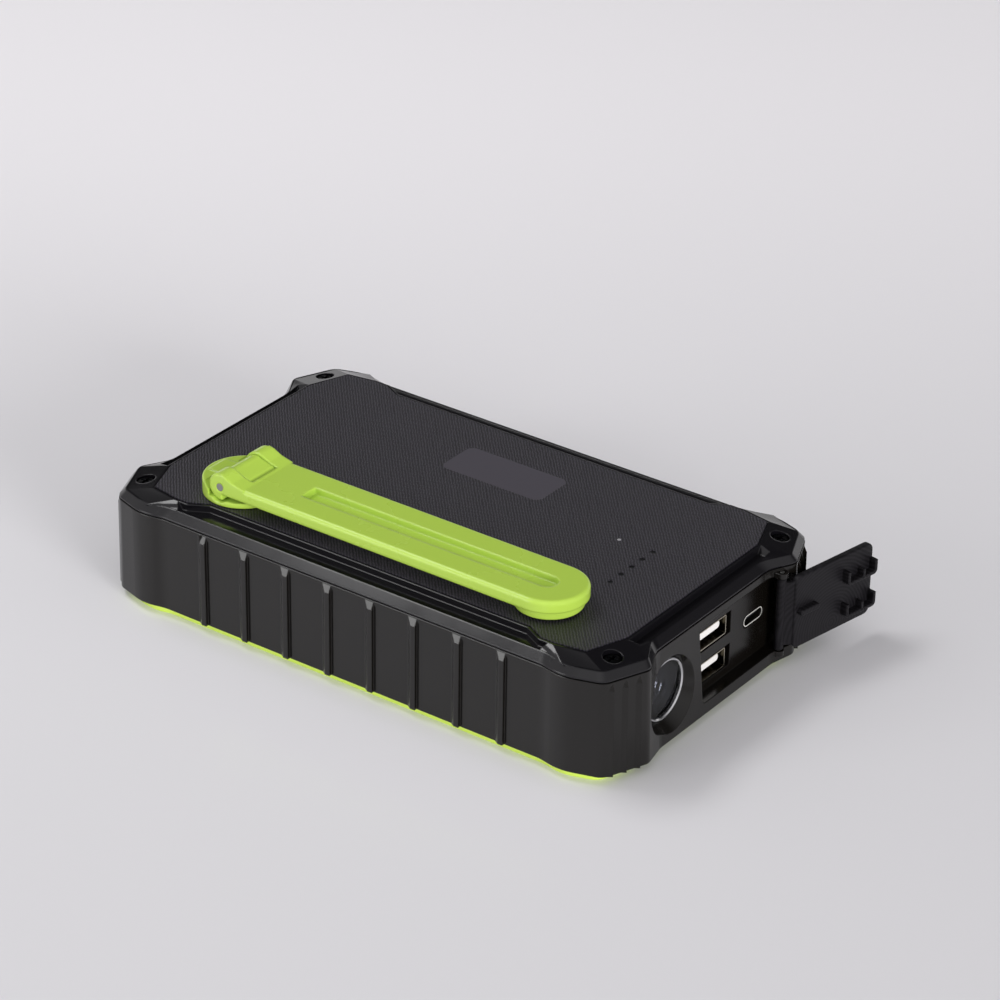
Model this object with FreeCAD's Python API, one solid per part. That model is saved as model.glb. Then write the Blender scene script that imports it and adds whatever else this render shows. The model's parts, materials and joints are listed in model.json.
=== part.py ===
"""Hand crank phone charger: a ribbed black case with a lime base cover and a folding lime crank.

Units are millimetres. X runs along the case towards the ports, -Y is the side that the crank lies
along, Z is up. The origin is the bottom centre of the case, on the surface that it stands on.
"""
import FreeCAD, Part
import math
import os

V = FreeCAD.Vector
UP = V(0, 0, 1)

over_cut = 1.0           # how far a cutting solid runs past the face that it opens
merge = 0.2              # how far a post or a plug runs into the body that it grows from

# ---------------------------------------------------------------- case
side_y = 48.8            # half width of the plain side walls
end_x = 83.6             # half length of the end walls at their foot
end_lean = 2.4           # how far an end wall leans in at the parting line
pad_lean_share = 0.125   # a corner pad leans in by this share of that
pad_start_x = 62.2       # where the corner pad starts on a side wall
pad_peak_x = 68.9
pad_proud = 1.5          # how far the pad stands out of the side wall
pad_corner_x = 80.0
pad_corner_y = 46.9
pad_tip_x = 85.3
pad_tip_y = 34.0
pad_end_y = 26.1         # where the corner pad meets the end wall
case_foot_z = 2.6        # height of the case's lower edge
parting_z = 29.85        # height of the case's upper edge
cavity_x = 77.6
cavity_y = 46.4
cavity_round = 3.0
parting_gap = 0.3

# ribs on the side walls and on the corner pads
rib_count = 8
rib_pitch = 14.0
rib_first_x = -47.1      # sharp wall of the first rib
rib_width = 2.9
rib_flat = 1.5
rib_proud = 0.9
rib_top_gap = 0.35       # from the rib's slanted end to the parting line
rib_slant = 2.0
pad_rib_count = 3
pad_rib_first = 2.7      # along the pad's facet, from its corner
pad_rib_pitch = 4.1
pad_rib_width = 2.6
pad_rib_proud = 0.8
pad_rib_back = 0.4       # from a pad rib's crest to the foot of its sharp wall
pad_rib_end = 0.05       # how deep the crest lies at the rib's upper end
rib_root = 0.6           # how deep a rib is rooted in its wall

# corner screws
screw_x = 76.5
screw_y = 38.8
screw_post_r = 4.3
screw_shank_r = 1.3
screw_head_r = 2.3
screw_head_h = 1.3
screw_hole_gap = 0.2
screw_recess_gap = 0.35
screw_recess_depth = 2.7
screw_end_z = 1.0
socket_r = 0.8           # drive socket in a screw head
socket_depth = 0.8

# parting seal
seal_inset = 1.3
seal_width = 1.2
seal_depth = 0.9
seal_gap = 0.05

# ---------------------------------------------------------------- base cover and solar panel
base_side_inset = 1.3
base_end_inset = 5.0
base_taper = 0.8
base_plug_h = 1.6        # inner step that locates the cover in the case
base_plug_gap = 0.2
base_post_r = 2.9
base_post_h = 6.0
panel_length = 130.0
panel_width = 70.0
panel_thick = 1.9
panel_gap = 0.2
panel_recess = 0.3       # how far the panel lies above the standing surface

# ---------------------------------------------------------------- lid and inlay
lid_inset = 0.1
land_z = 30.6            # top of the lid's short upright edge
rim_z = 32.5             # crest of the bevel around the lid
rim_side_inset = 2.3     # from the case's outline to the crest, on the sides
rim_pad_inset = 1.3      # on the corner pads
rim_end_inset = 1.95     # on the ends
rim_cap = 0.15           # height of the narrow flat that breaks the crest's outer edge
rim_cap_in = 0.2         # how far that flat runs in
deck_z = 34.0            # top of the lip around the inlay
lip_width = 0.8
hip_drop = 0.1           # how far the hipped top's foot lies below the crest
hip_inset = 0.3          # where the lid's hipped top starts, in from the crest
trough_z = 32.0
trough_rim = 0.3         # width of the crest beside a trough
trough_half_x = 59.0
trough_half_y = 29.0
trough_slope = 2.0
trough_over = 0.5        # height above the deck at which the end slopes' run is stated
lid_ceiling_z = 30.9
bar_thick = 2.0          # the bars that carry the indicators' board
inlay_half_x = 75.0
inlay_half_y = 40.4
inlay_corner_y = 30.0
inlay_wing_x = 70.6
inlay_wing_y = 41.8
inlay_wing_in_x = 62.0
inlay_wing_in_y = 43.3
inlay_step_x = 57.9
inlay_mid_x = 52.4
inlay_thick = 1.6
inlay_top_z = 34.24
inlay_gap = 0.15

# ---------------------------------------------------------------- indicator lights
light_count = 5
light_pitch = 4.93
light_x = 55.7
light_first_y = -9.8
light_r = 0.7
lamp_x = 44.9
lamp_y = 9.9
lamp_r = 0.5
light_gap = 0.08
light_sunk = 0.1
light_board_z = 27.4
light_board_x0 = 41.0
light_board_x1 = 60.0
light_board_half_y = 14.0
chip_long = 1.6
chip_wide = 0.8
chip_high = 0.6
chip_gap = 0.1           # between a light's foot and its chip
board_thick = 1.2

# ---------------------------------------------------------------- torch
torch_y = -20.3
torch_z = 15.9
torch_mouth_r = 11.4
torch_bore_r = 8.9
torch_seat_x = 80.0      # foot of the conical mouth
torch_tube_wall = 1.5
torch_tube_x = 69.8      # inner end of the torch's tube
bezel_gap = 0.1
bezel_wall = 0.9
bezel_front_x = 80.5
bezel_long = 2.4
bezel_chamfer = 0.3
lens_thick = 1.2
lens_sunk = 0.6          # from the bezel's front to the lens
reflector_wall = 0.6
reflector_throat_r = 2.0
led_base = 2.7
led_base_thick = 0.9
led_dome_r = 1.2
bowl_steps = 6           # straight spans along the reflector's curve
torch_board_r = 10.0

# ---------------------------------------------------------------- port recess and sockets
recess_floor_x = 79.6
recess_y0 = -6.5
recess_y1 = 33.6
recess_z0 = 5.8
recess_z1 = 27.8
recess_round = 1.4
usb_y = 2.8
usb_zs = (11.4, 21.3)
usb_names = ("lower", "upper")
usb_width = 12.5         # standard opening
usb_height = 5.12
usb_wall = 0.3
usb_round = 0.6
usb_depth = 14.0
usb_face_x = 79.4
usb_cut_gap = 0.35
usb_cut_extra = 1.6      # the cut-out is wider on the hinge side
tongue_width = 11.1
tongue_height = 1.9
tongue_up = 0.25
tongue_sunk = 1.3
tongue_root = 4.0        # thickness of the block that carries the tongue
input_y = 22.3
input_z = 17.4
input_width = 8.94
input_height = 3.26
input_wall = 0.3
input_depth = 7.0
input_face_x = 79.5
input_tongue_w = 6.7
input_tongue_h = 0.7
input_tongue_sunk = 1.0
input_root = 1.5
input_cut_gap = 0.3

# ---------------------------------------------------------------- port flap
flap_axis_x = 83.7
flap_axis_y = 29.0
flap_open = 169.0        # how far the flap stands open from its closed place
flap_length = 30.5
flap_thick = 2.0
flap_start = 2.4         # from the hinge axis to the plate, along the plate
flap_offset = 1.0        # from the hinge axis to the plate's outer face
flap_round = 2.2
flap_gap = 0.2           # between the plate and the recess, above and below
barrel_r = 1.3
hinge_pin_r = 0.6
pin_gap = 0.05
pin_blind = 0.4          # thickness left under the pin's lower end
ear_r = 1.6
ear_thick = 1.5
ear_gap = 0.1
ear_root_x = cavity_x + 2.0  # where an ear's root starts inside the end wall
leaf_near = 0.9          # in barrel radii, where the leaf leaves the barrel
leaf_half = 0.4
leaf_inset = 0.3
leaf_bite = 0.5          # how far the leaf runs into the plate
leaf_trim = 1.3          # the leaf is this much shorter than the plate at each end
plug_high = 2.3          # how far a plug stands off the plate
plug_gap = 0.5           # between a plug and its socket, all round
plug_wall = 1.0
plug_round = 0.6
input_plug_high = 1.9

# ---------------------------------------------------------------- crank
crank_x = -50.4
crank_y = -28.8
hub_r = 11.2
hub_z0 = 34.5
hub_left_z = 38.9
hub_spine_z = 39.2
hub_right_z = 37.1
hub_pocket_z = 35.9
hub_round = 0.6
hub_shoulder = 2.0       # from the pin down to the hub's left shoulder beside the ears
hub_lobe_drop = 0.7      # from the pin down to the foot of the hub's full-height lobes
spine_half = 3.6
spine_inset = 0.8        # from the hub's edge to the spine's foot
spine_bevel = 1.4
spine_drop = 0.2         # from the hub's top to where the spine's bevel starts
shaft_boss_wall = 2.0
hub_boss_gap = 0.1       # between the bush's flange and the foot of the boss around the shaft
lobe_reach = 6.5         # from the pin to the hub's full-height lobes
knuckle_half = 5.0
knuckle_r = 3.2
knuckle_reach = 6.7      # from the pin to the tongue's end
knuckle_gap = 0.1        # between the knuckle's sides and the hub's pockets
knuckle_crest = 1.0      # from the pin to where the tongue's slope starts
knuckle_crest_r = 0.93   # height of that place, in knuckle radii
tongue_bevel = 1.2
tongue_top = 0.3         # above the arm's face
tongue_nose = 0.5        # below the arm's face
pivot_x = -50.1
pivot_z = 39.5
pivot_pin_r = 1.1
fork_gap = 0.25
ear_round = 3.9
ear_sweep_gap = 0.3
ear_edge = 0.7
ear_heel = 0.5           # how far past the pin an ear reaches below the arm
ramp_crest = 1.6         # from the pin to where the ramp starts down
ramp_crest_r = 0.91      # height of that place, in ear radii
ramp_knee = 4.2
ramp_knee_up = 0.9       # above the arm's face
ramp_run = 1.0           # how far the ramp ends past the fork's slot
arm_half = 10.45
arm_z0 = 37.5
arm_thick = 3.4
arm_tip_x = 50.0
arm_round = 1.1
web_reach = 7.0          # from the pin to the end of the fork's slot
groove_x0 = -28.5
groove_x1 = 52.2
groove_width = 5.9
groove_depth = 2.0
groove_round = 0.5       # at the groove's square end
knob_inset = 1.25        # the knob's side lies this far inside the arm's
knob_r = arm_half - knob_inset
knob_z0 = 34.85
knob_gap = 0.2           # between the knob and the arm
knob_round = 0.5
knob_head_gap = 0.2      # around the screw's head
knob_play = 0.1          # the post is this much longer than the knob's bore
knob_post_r = 3.0
knob_screw_r = 1.2
knob_screw_head_r = 4.2
knob_screw_head_h = 0.7
knob_screw_bite = 0.4    # how far the screw runs above the arm's lower face
knob_socket_depth = 0.4

# ---------------------------------------------------------------- shaft, bush and gears
shaft_r = 3.0
shaft_foot_r = 2.0
shaft_step_z = 24.2
shaft_top_z = 37.4
bush_r = 5.0
bush_flange_r = 6.4
bush_flange_h = 0.9
bush_below = 1.2         # how far the bush stands out below the lid's ceiling
run_gap = 0.05           # radial clearance of every running fit
clip_r = 5.2
clip_thick = 0.8
clip_groove_depth = 0.5
clip_gap = 0.1
clip_mouth = 0.8         # half width of the clip's mouth, in neck radii
plate_z = 16.6           # lower face of the gear plate
plate_thick = 1.2
idler_pin_r = 1.0
idler_pin_top = 29.6
idler_boss_r = 2.4
idler_boss_z = 28.3
sleeve_r = 2.0           # the thin part of an idler
plate_post_r = 2.2
plate_post_xy = ((-67.5, -8.0), (-24.5, -30.0), (-56.0, 14.0))   # clear of every wheel
plate_margin = 4.0       # from the outermost axis to the plate's edge
plate_screw_bite = 5.0
standoff_stud = 1.2      # length of the stud that holds a standoff in the lid
plate_screw_short = 0.3  # the bore is this much deeper than its screw
drive_hub_wall = 2.5
drive_hub_up = 0.6
coarse_module = 0.8
fine_module = 0.5
drive_teeth = 40
drive_pinion_teeth = 12
second_teeth = 48
second_pinion_teeth = 12
third_teeth = 44
rotor_teeth = 11
pressure_angle = 20.0
addendum = 0.8           # in modules
dedendum = 1.3
tooth_share = 0.44       # of the pitch
first_turn = 75.0        # direction from the crank to the first idler
second_turn = 55.0
rotor_turn = 100.0
drive_z0 = 24.6
drive_z1 = 27.6
second_z0 = 21.0
second_z1 = 23.2
third_z0 = 18.3
third_z1 = 20.5
mesh_over = 0.3          # a pinion is this much longer than its wheel at each end
idler_top_z = 28.0
plate_play = 0.2

# generator
can_r = 12.0
can_wall = 1.0
can_z0 = 4.6
end_bell_h = 1.2
stator_inner_r = 7.6
stator_z0 = 6.6
stator_z1 = 14.4
rotor_r = 7.1
rotor_shaft_r = 0.75
rotor_end_gap = 0.3      # the magnet drum is this much shorter than the stator at each end
rotor_foot_gap = 0.2
pinion_clear = 1.0       # around the rotor's pinion in the gear plate

# ---------------------------------------------------------------- cells, boards and switch
cell_x0 = -20.0
cell_x1 = 36.0
cell_half_y = 42.0
cell_thick = 8.0
cell_round = 1.5
cell_z0 = 4.3
cell_gap = 0.2
cell_count = 2
main_board_thick = 1.6
board_seat_gap = 0.04    # between the main board and the lower socket on it
main_board_x0 = 40.0
main_board_x1 = 77.2
main_board_y0 = -8.0
main_board_y1 = 34.0
board_post_r = 2.2
board_screw_r = 1.0
board_screw_head_r = 1.9
board_screw_head_h = 1.0
board_screw_xy = ((43.5, -4.5), (43.5, 30.5))
input_board_y0 = 13.0
input_board_y1 = 32.0
input_board_x0 = 60.0
spacer_r = 1.6
spacer_inset = 2.5       # from the input board's edges to the spacers
usb_spacer_end = 0.4     # from the wall's inner face to the block between the sockets
screw_clear = 0.1        # around a screw in a board or plate
switch_z = 15.9
button_width = 10.0
button_height = 6.0
button_round = 2.4
button_face_x = -82.9
button_gap = 0.2
flange_over = 1.0
flange_x = -80.2         # outer face of the button's flange
flange_thick = 1.0
flange_seat_gap = 0.1
button_travel = 0.6
switch_width = 6.0
switch_front = 0.4       # from the wall's inner face to the switch's body
plunger_gap = 0.1
plunger_r = 1.5
switch_board_x = -74.0   # outer face of the switch's board
switch_board_half_y = 13.0
switch_board_half_z = 6.0
switch_post_y = 10.5
switch_post_r = 2.2

# ---------------------------------------------------------------- shape helpers


def box(x0, x1, y0, y1, z0, z1):
    """A block between two corners."""
    return Part.makeBox(x1 - x0, y1 - y0, z1 - z0, V(x0, y0, z0))


def block_x(x0, x1, y, width, z, height):
    """A block along X, centred on (y, z)."""
    return box(x0, x1, y - width / 2, y + width / 2, z - height / 2, z + height / 2)


def rod(r, x, y, z0, z1):
    """An upright cylinder."""
    return Part.makeCylinder(r, z1 - z0, V(x, y, z0))


def ring(outer_r, inner_r, x, y, z0, z1):
    """An upright cylinder with a bore."""
    return rod(outer_r, x, y, z0, z1).cut(rod(inner_r, x, y, z0, z1))


def rod_x(r, x0, x1, y, z):
    """A cylinder along X."""
    return Part.makeCylinder(r, x1 - x0, V(x0, y, z), V(1, 0, 0))


def rod_y(r, x, y0, y1, z):
    """A cylinder along Y."""
    return Part.makeCylinder(r, y1 - y0, V(x, y0, z), V(0, 1, 0))


def rounded_wire(points, z):
    """A closed flat wire through (x, y, radius) corners, each corner an arc of its radius."""
    spots = [V(x, y, z) for x, y, radius in points]
    starts = []
    ends = []
    middles = []
    for i, (x, y, radius) in enumerate(points):
        here = spots[i]
        before = (spots[i - 1] - here).normalize()
        after = (spots[(i + 1) % len(spots)] - here).normalize()
        half = before.getAngle(after) / 2
        reach = radius / math.tan(half) if radius else 0
        starts.append(here + before * reach)
        ends.append(here + after * reach)
        inward = before + after
        far = radius / math.sin(half) - radius if radius else 0
        middles.append(here + inward.normalize() * far if radius else here)
    edges = []
    for i, (x, y, radius) in enumerate(points):
        if radius:
            edges.append(Part.Arc(starts[i], middles[i], ends[i]).toShape())
        edges.append(Part.LineSegment(ends[i], starts[(i + 1) % len(points)]).toShape())
    return Part.Wire(edges)


def prism(points, z0, z1):
    """An upright solid on a rounded outline."""
    return Part.Face(rounded_wire(points, z0)).extrude(V(0, 0, z1 - z0))


def loft(low, z0, high, z1):
    """A ruled solid between two outlines with as many corners."""
    return Part.makeLoft([rounded_wire(low, z0), rounded_wire(high, z1)], True, True)


def four_ways(quarter):
    """A closed outline from its first quadrant, listed from the +Y side round to the +X end."""
    first = [(x, y, r) for x, y, r in quarter]
    second = [(x, -y, r) for x, y, r in reversed(quarter)]
    third = [(-x, -y, r) for x, y, r in quarter]
    fourth = [(-x, y, r) for x, y, r in reversed(quarter)]
    return first + second + third + fourth


def slab(x0, x1, y0, y1, r):
    """A rounded rectangle as outline points."""
    return [(x0, y0, r), (x1, y0, r), (x1, y1, r), (x0, y1, r)]


def plate_x(y0, y1, z0, z1, r, x0, x1):
    """A rounded plate that faces along X."""
    flat = prism(slab(y0, y1, z0, z1, r), x0, x1)
    return flat.transformGeometry(FreeCAD.Matrix(0, 0, 1, 0, 1, 0, 0, 0, 0, 1, 0, 0, 0, 0, 0, 1))


def centred_plate(x0, x1, y, width, z, height, r):
    """A rounded plate that faces along X, centred on (y, z)."""
    return plate_x(y - width / 2, y + width / 2, z - height / 2, z + height / 2, r, x0, x1)


def mirrored_y(shape):
    return shape.mirror(V(0, 0, 0), V(0, 1, 0))


def mirrored_x(shape):
    return shape.mirror(V(0, 0, 0), V(1, 0, 0))


def all_corners(shape):
    """A shape at one corner and its mirror images at the other three."""
    pair = [shape, mirrored_y(shape)]
    return pair + [mirrored_x(s) for s in pair]


def fused(shapes):
    first = shapes[0]
    return first.fuse(shapes[1:]).removeSplitter()


def write(name, shape):
    """Write a node's solids to its STEP file."""
    solids = shape.Solids
    body = solids[0] if len(solids) == 1 else Part.makeCompound(solids)
    body.exportStep("parts/%s.step" % name)


# ---------------------------------------------------------------- outlines


def case_outline(inset, lean, end_inset=None):
    """The case's outline with its corner pads, drawn in from the walls and leaned at the ends."""
    over = inset if end_inset is None else end_inset
    pad_lean = lean * pad_lean_share
    return four_ways([
        (pad_start_x, side_y - inset, 12.0),
        (pad_peak_x - inset / 2, side_y + pad_proud - inset, 14.0),
        (pad_corner_x - inset - pad_lean, pad_corner_y - inset, 4.0),
        (pad_tip_x - over - pad_lean, pad_tip_y - inset / 2, 3.0),
        (end_x - over - lean, pad_end_y - inset / 2, 8.0)])


def crest_corners(inset):
    """Corners of the lid's crest or of a line inside it, as (x, y, corner radius)."""
    side = rim_side_inset + inset
    pad = rim_pad_inset + inset
    pad_lean = end_lean * pad_lean_share
    return [
        (pad_start_x, side_y - side, 12.0),
        (pad_peak_x - pad / 2, side_y + pad_proud - pad, 14.0),
        (pad_corner_x - pad - pad_lean, pad_corner_y - pad, 4.0),
        (pad_tip_x - pad - pad_lean, pad_tip_y - pad / 2, 3.0),
        (end_x - end_lean - rim_end_inset - inset, pad_end_y - pad / 2, 8.0)]


def inlay_corners(grow):
    return [
        (inlay_mid_x - grow / 2, inlay_half_y + grow, 0),
        (inlay_step_x - grow / 2, inlay_wing_in_y + grow, 0),
        (inlay_wing_in_x, inlay_wing_in_y + grow, 0),
        (inlay_wing_x + grow / 2, inlay_wing_y + grow, 0),
        (inlay_half_x + grow, inlay_corner_y + grow / 2, 0)]


def inlay_outline(grow):
    """The textured plate's outline: wide wings at the ends, cut corners and narrower flanks."""
    return four_ways(inlay_corners(grow))


def hip():
    """The lid's hipped top, from just inside the crest up to the lip around the inlay."""
    foot = [(x, y, 0) for x, y, radius in crest_corners(hip_inset)]
    top = inlay_corners(lip_width)
    foot.insert(0, (inlay_mid_x, foot[0][1], 0))
    top.append((inlay_half_x + lip_width, pad_end_y - rim_pad_inset, 0))
    return loft(four_ways(foot), rim_z - hip_drop, four_ways(top), deck_z)


# ---------------------------------------------------------------- case


def side_ribs():
    """Wedge ribs on the -Y wall, each with one sharp wall and a slanted upper end."""
    top = parting_z - rib_top_gap
    wall = -side_y
    ribs = []
    for i in range(rib_count):
        x = rib_first_x + i * rib_pitch
        section = [
            (x, wall + rib_root, 0), (x, wall - rib_proud, 0), (x - rib_flat, wall - rib_proud, 0),
            (x - rib_width, wall, 0), (x - rib_width, wall + rib_root, 0)]
        ribs.append(prism(section, case_foot_z, top))
    slant = Part.makePolygon([
        V(-side_y, wall, top), V(-side_y, wall - rib_slant, top - rib_slant ** 2 / rib_proud),
        V(-side_y, wall - rib_slant, top + rib_slant), V(-side_y, wall, top)])
    reach = rib_first_x + rib_count * rib_pitch + side_y
    knife = Part.Face(slant).extrude(V(reach, 0, 0))
    return [rib.cut(knife) for rib in ribs]


def pad_ribs():
    """Three wedge ribs on the facet of the corner pad at +X, -Y, with slanted upper ends."""
    top = parting_z - rib_top_gap
    lean = end_lean * pad_lean_share
    start = V(pad_corner_x, -pad_corner_y, case_foot_z)
    along = V(pad_tip_x, -pad_tip_y, case_foot_z) - start
    along.normalize()
    out = V(-along.y, along.x, 0) * -1
    if out.x < 0:
        out = out * -1
    ribs = []
    for i in range(pad_rib_count):
        crest = start + along * (pad_rib_first + i * pad_rib_pitch)
        foot = crest - out * rib_root
        low = [
            foot + along * pad_rib_back, crest + out * pad_rib_proud,
            foot - along * (pad_rib_width - pad_rib_back)]
        tilt = V(-lean, 0, parting_z - case_foot_z)
        tilt = tilt * ((top - rib_slant - case_foot_z) / (parting_z - case_foot_z))
        high = [p + tilt for p in low]
        end_tilt = V(-lean, 0, parting_z - case_foot_z)
        end_tilt = end_tilt * ((top - case_foot_z) / (parting_z - case_foot_z))
        flat = [low[0] + end_tilt, crest - out * pad_rib_end + end_tilt, low[2] + end_tilt]
        wires = [Part.makePolygon(corners + corners[:1]) for corners in (low, high, flat)]
        ribs.append(Part.makeLoft(wires[:2], True, True))
        ribs.append(Part.makeLoft(wires[1:], True, True))
    return ribs


def seal_groove(z0, z1, trim):
    """The seal's ring, or the groove for it when trim is not zero."""
    outer = prism(case_outline(seal_inset - trim, end_lean), z0, z1)
    inner = prism(case_outline(seal_inset + seal_width + trim, end_lean), z0, z1)
    return outer.cut(inner)


def hinge_ear(z0, z1):
    """An ear of the case that holds one end of the flap's pin."""
    ear = rod(ear_r, flap_axis_x, flap_axis_y, z0, z1)
    root = box(ear_root_x, flap_axis_x, flap_axis_y - ear_r, flap_axis_y + ear_r, z0, z1)
    return ear.fuse(root)


def usb_cut(z):
    half = usb_width / 2 + usb_wall + usb_cut_gap
    rise = usb_height / 2 + usb_wall + usb_cut_gap
    return box(cavity_x - over_cut, end_x, usb_y - half, usb_y + half + usb_cut_extra, z - rise, z + rise)


def stadium_x(grow, x0, x1):
    """The input socket's round-ended outline as a solid along X, grown all round."""
    high = input_height + 2 * grow
    return centred_plate(x0, x1, input_y, input_width + 2 * grow, input_z, high, high / 2 - 0.01)


def mid_case():
    lean_up = end_lean
    case = loft(case_outline(0, 0), case_foot_z, case_outline(0, lean_up), parting_z)
    room = prism(slab(-cavity_x, cavity_x, -cavity_y, cavity_y, cavity_round), case_foot_z, parting_z)
    posts = all_corners(rod(screw_post_r, screw_x, screw_y, case_foot_z, parting_z))
    case = case.cut(room.cut(Part.makeCompound(posts)))
    ribs = side_ribs()
    pads = [s for rib in pad_ribs() for s in all_corners(rib)]
    case = case.fuse(ribs + [mirrored_y(rib) for rib in ribs] + pads)
    # the torch's mouth, bore and inner tube
    tube_r = torch_bore_r + torch_tube_wall
    tube = rod_x(tube_r, torch_tube_x, cavity_x + over_cut, torch_y, torch_z)
    mouth_slope = (torch_mouth_r - torch_bore_r) / (end_x - torch_seat_x)
    mouth_x = pad_tip_x + over_cut
    mouth_r = torch_bore_r + mouth_slope * (mouth_x - torch_seat_x)
    seat = V(torch_seat_x, torch_y, torch_z)
    mouth = Part.makeCone(torch_bore_r, mouth_r, mouth_x - torch_seat_x, seat, V(1, 0, 0))
    bore = rod_x(torch_bore_r, torch_tube_x, torch_seat_x, torch_y, torch_z)
    case = case.fuse(tube).cut([mouth, bore])
    # the port recess with its openings
    recess = plate_x(recess_y0, recess_y1, recess_z0, recess_z1, recess_round, recess_floor_x, mouth_x)
    case = case.cut([recess] + [usb_cut(z) for z in usb_zs])
    case = case.cut(stadium_x(input_cut_gap, cavity_x - over_cut, end_x))
    low_ear = hinge_ear(recess_z0 - ear_thick, recess_z0)
    high_ear = hinge_ear(recess_z1, recess_z1 + ear_thick)
    case = case.fuse([low_ear, high_ear])
    case = case.cut(pin_rod(hinge_pin_r + pin_gap))
    # the button's hole and the room for its flange
    wide = button_width + 2 * button_gap
    high = button_height + 2 * button_gap
    more = 2 * flange_over
    inside = -cavity_x + over_cut
    hole = centred_plate(-end_x - over_cut, inside, 0, wide, switch_z, high, button_round)
    seat_x = flange_x - flange_seat_gap
    room = centred_plate(seat_x, inside, 0, wide + more, switch_z, high + more, button_round)
    case = case.cut([hole, room])
    for side in (-1, 1):
        post = rod_x(switch_post_r, -cavity_x - over_cut, switch_board_x, side * switch_post_y, switch_z)
        case = case.fuse(post)
    # seal groove, screw bores and the wider bores that take the base cover's posts
    case = case.cut(seal_groove(parting_z - seal_depth, parting_z, seal_gap))
    bore = rod(screw_shank_r + screw_hole_gap, screw_x, screw_y, case_foot_z, parting_z)
    socket_top = case_foot_z + base_post_h + base_plug_gap
    socket = rod(base_post_r + base_plug_gap, screw_x, screw_y, case_foot_z, socket_top)
    return case.cut(all_corners(bore) + all_corners(socket)).removeSplitter()


# ---------------------------------------------------------------- base cover and panel


def bottom_cover():
    outer = loft(case_outline(base_side_inset + base_taper, 0, base_end_inset + base_taper), 0,
                 case_outline(base_side_inset, 0, base_end_inset), case_foot_z)
    gap = base_plug_gap
    plug = prism(slab(-cavity_x + gap, cavity_x - gap, -cavity_y + gap, cavity_y - gap, cavity_round),
                 case_foot_z, case_foot_z + base_plug_h)
    clear = screw_post_r + base_plug_gap
    around = all_corners(rod(clear, screw_x, screw_y, case_foot_z, case_foot_z + base_plug_h))
    plug = plug.cut(around)
    posts = all_corners(rod(base_post_r, screw_x, screw_y, case_foot_z, case_foot_z + base_post_h))
    board_posts = [rod(board_post_r, x, y, case_foot_z, main_board_low()) for x, y in board_screw_xy]
    cover = outer.fuse([plug] + posts + board_posts)
    half_x = panel_length / 2 + panel_gap
    half_y = panel_width / 2 + panel_gap
    pocket = box(-half_x, half_x, -half_y, half_y, 0, panel_recess + panel_thick)
    thread = all_corners(rod(screw_shank_r, screw_x, screw_y, screw_end_z, case_foot_z + base_post_h))
    board_threads = [rod(board_screw_r, x, y, case_foot_z, main_board_low()) for x, y in board_screw_xy]
    return cover.cut([pocket] + thread + board_threads).removeSplitter()


def solar_panel():
    return box(-panel_length / 2, panel_length / 2, -panel_width / 2, panel_width / 2,
               panel_recess, panel_recess + panel_thick)


# ---------------------------------------------------------------- lid and inlay


def trough(x0, x1, y0, y1, slope):
    """A sunken band between two heights, its ends sloped."""
    low = slab(x0, x1, y0, y1, 0)
    high = slab(x0 - slope, x1 + slope, y0, y1, 0)
    return loft(low, trough_z, high, deck_z + trough_over)


def end_trough():
    x0 = inlay_half_x + lip_width
    x1 = end_x - end_lean - rim_end_inset - trough_rim
    low = slab(x0, x1, -trough_half_y, trough_half_y, 0)
    high = slab(x0, x1, -trough_half_y - trough_slope, trough_half_y + trough_slope, 0)
    return loft(low, trough_z, high, deck_z + trough_over)


def lid_bosses():
    """Sockets under the lid for the idler pins, and bars for the indicators' board."""
    sockets = [rod(idler_boss_r, x, y, idler_boss_z, lid_ceiling_z + merge) for x, y in idler_places()]
    bar_z = light_board_z + board_thick
    half = bar_thick / 2
    bars = [box(light_board_x0, light_board_x1, y - half, y + half, bar_z, lid_ceiling_z + merge)
            for y in (half - light_board_half_y, light_board_half_y - half)]
    return sockets + bars


def lid_rim(lid_z0):
    """The lid's outer part: a short upright edge, a bevel and a narrow flat up to the crest."""
    outline = case_outline(lid_inset, end_lean)
    crest = four_ways(crest_corners(0))
    cap_z = rim_z - rim_cap
    bevel = loft(outline, land_z, crest, cap_z)
    cap = loft(crest, cap_z, four_ways(crest_corners(rim_cap_in)), rim_z)
    return bevel.fuse([cap, prism(outline, lid_z0, land_z)])


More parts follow.
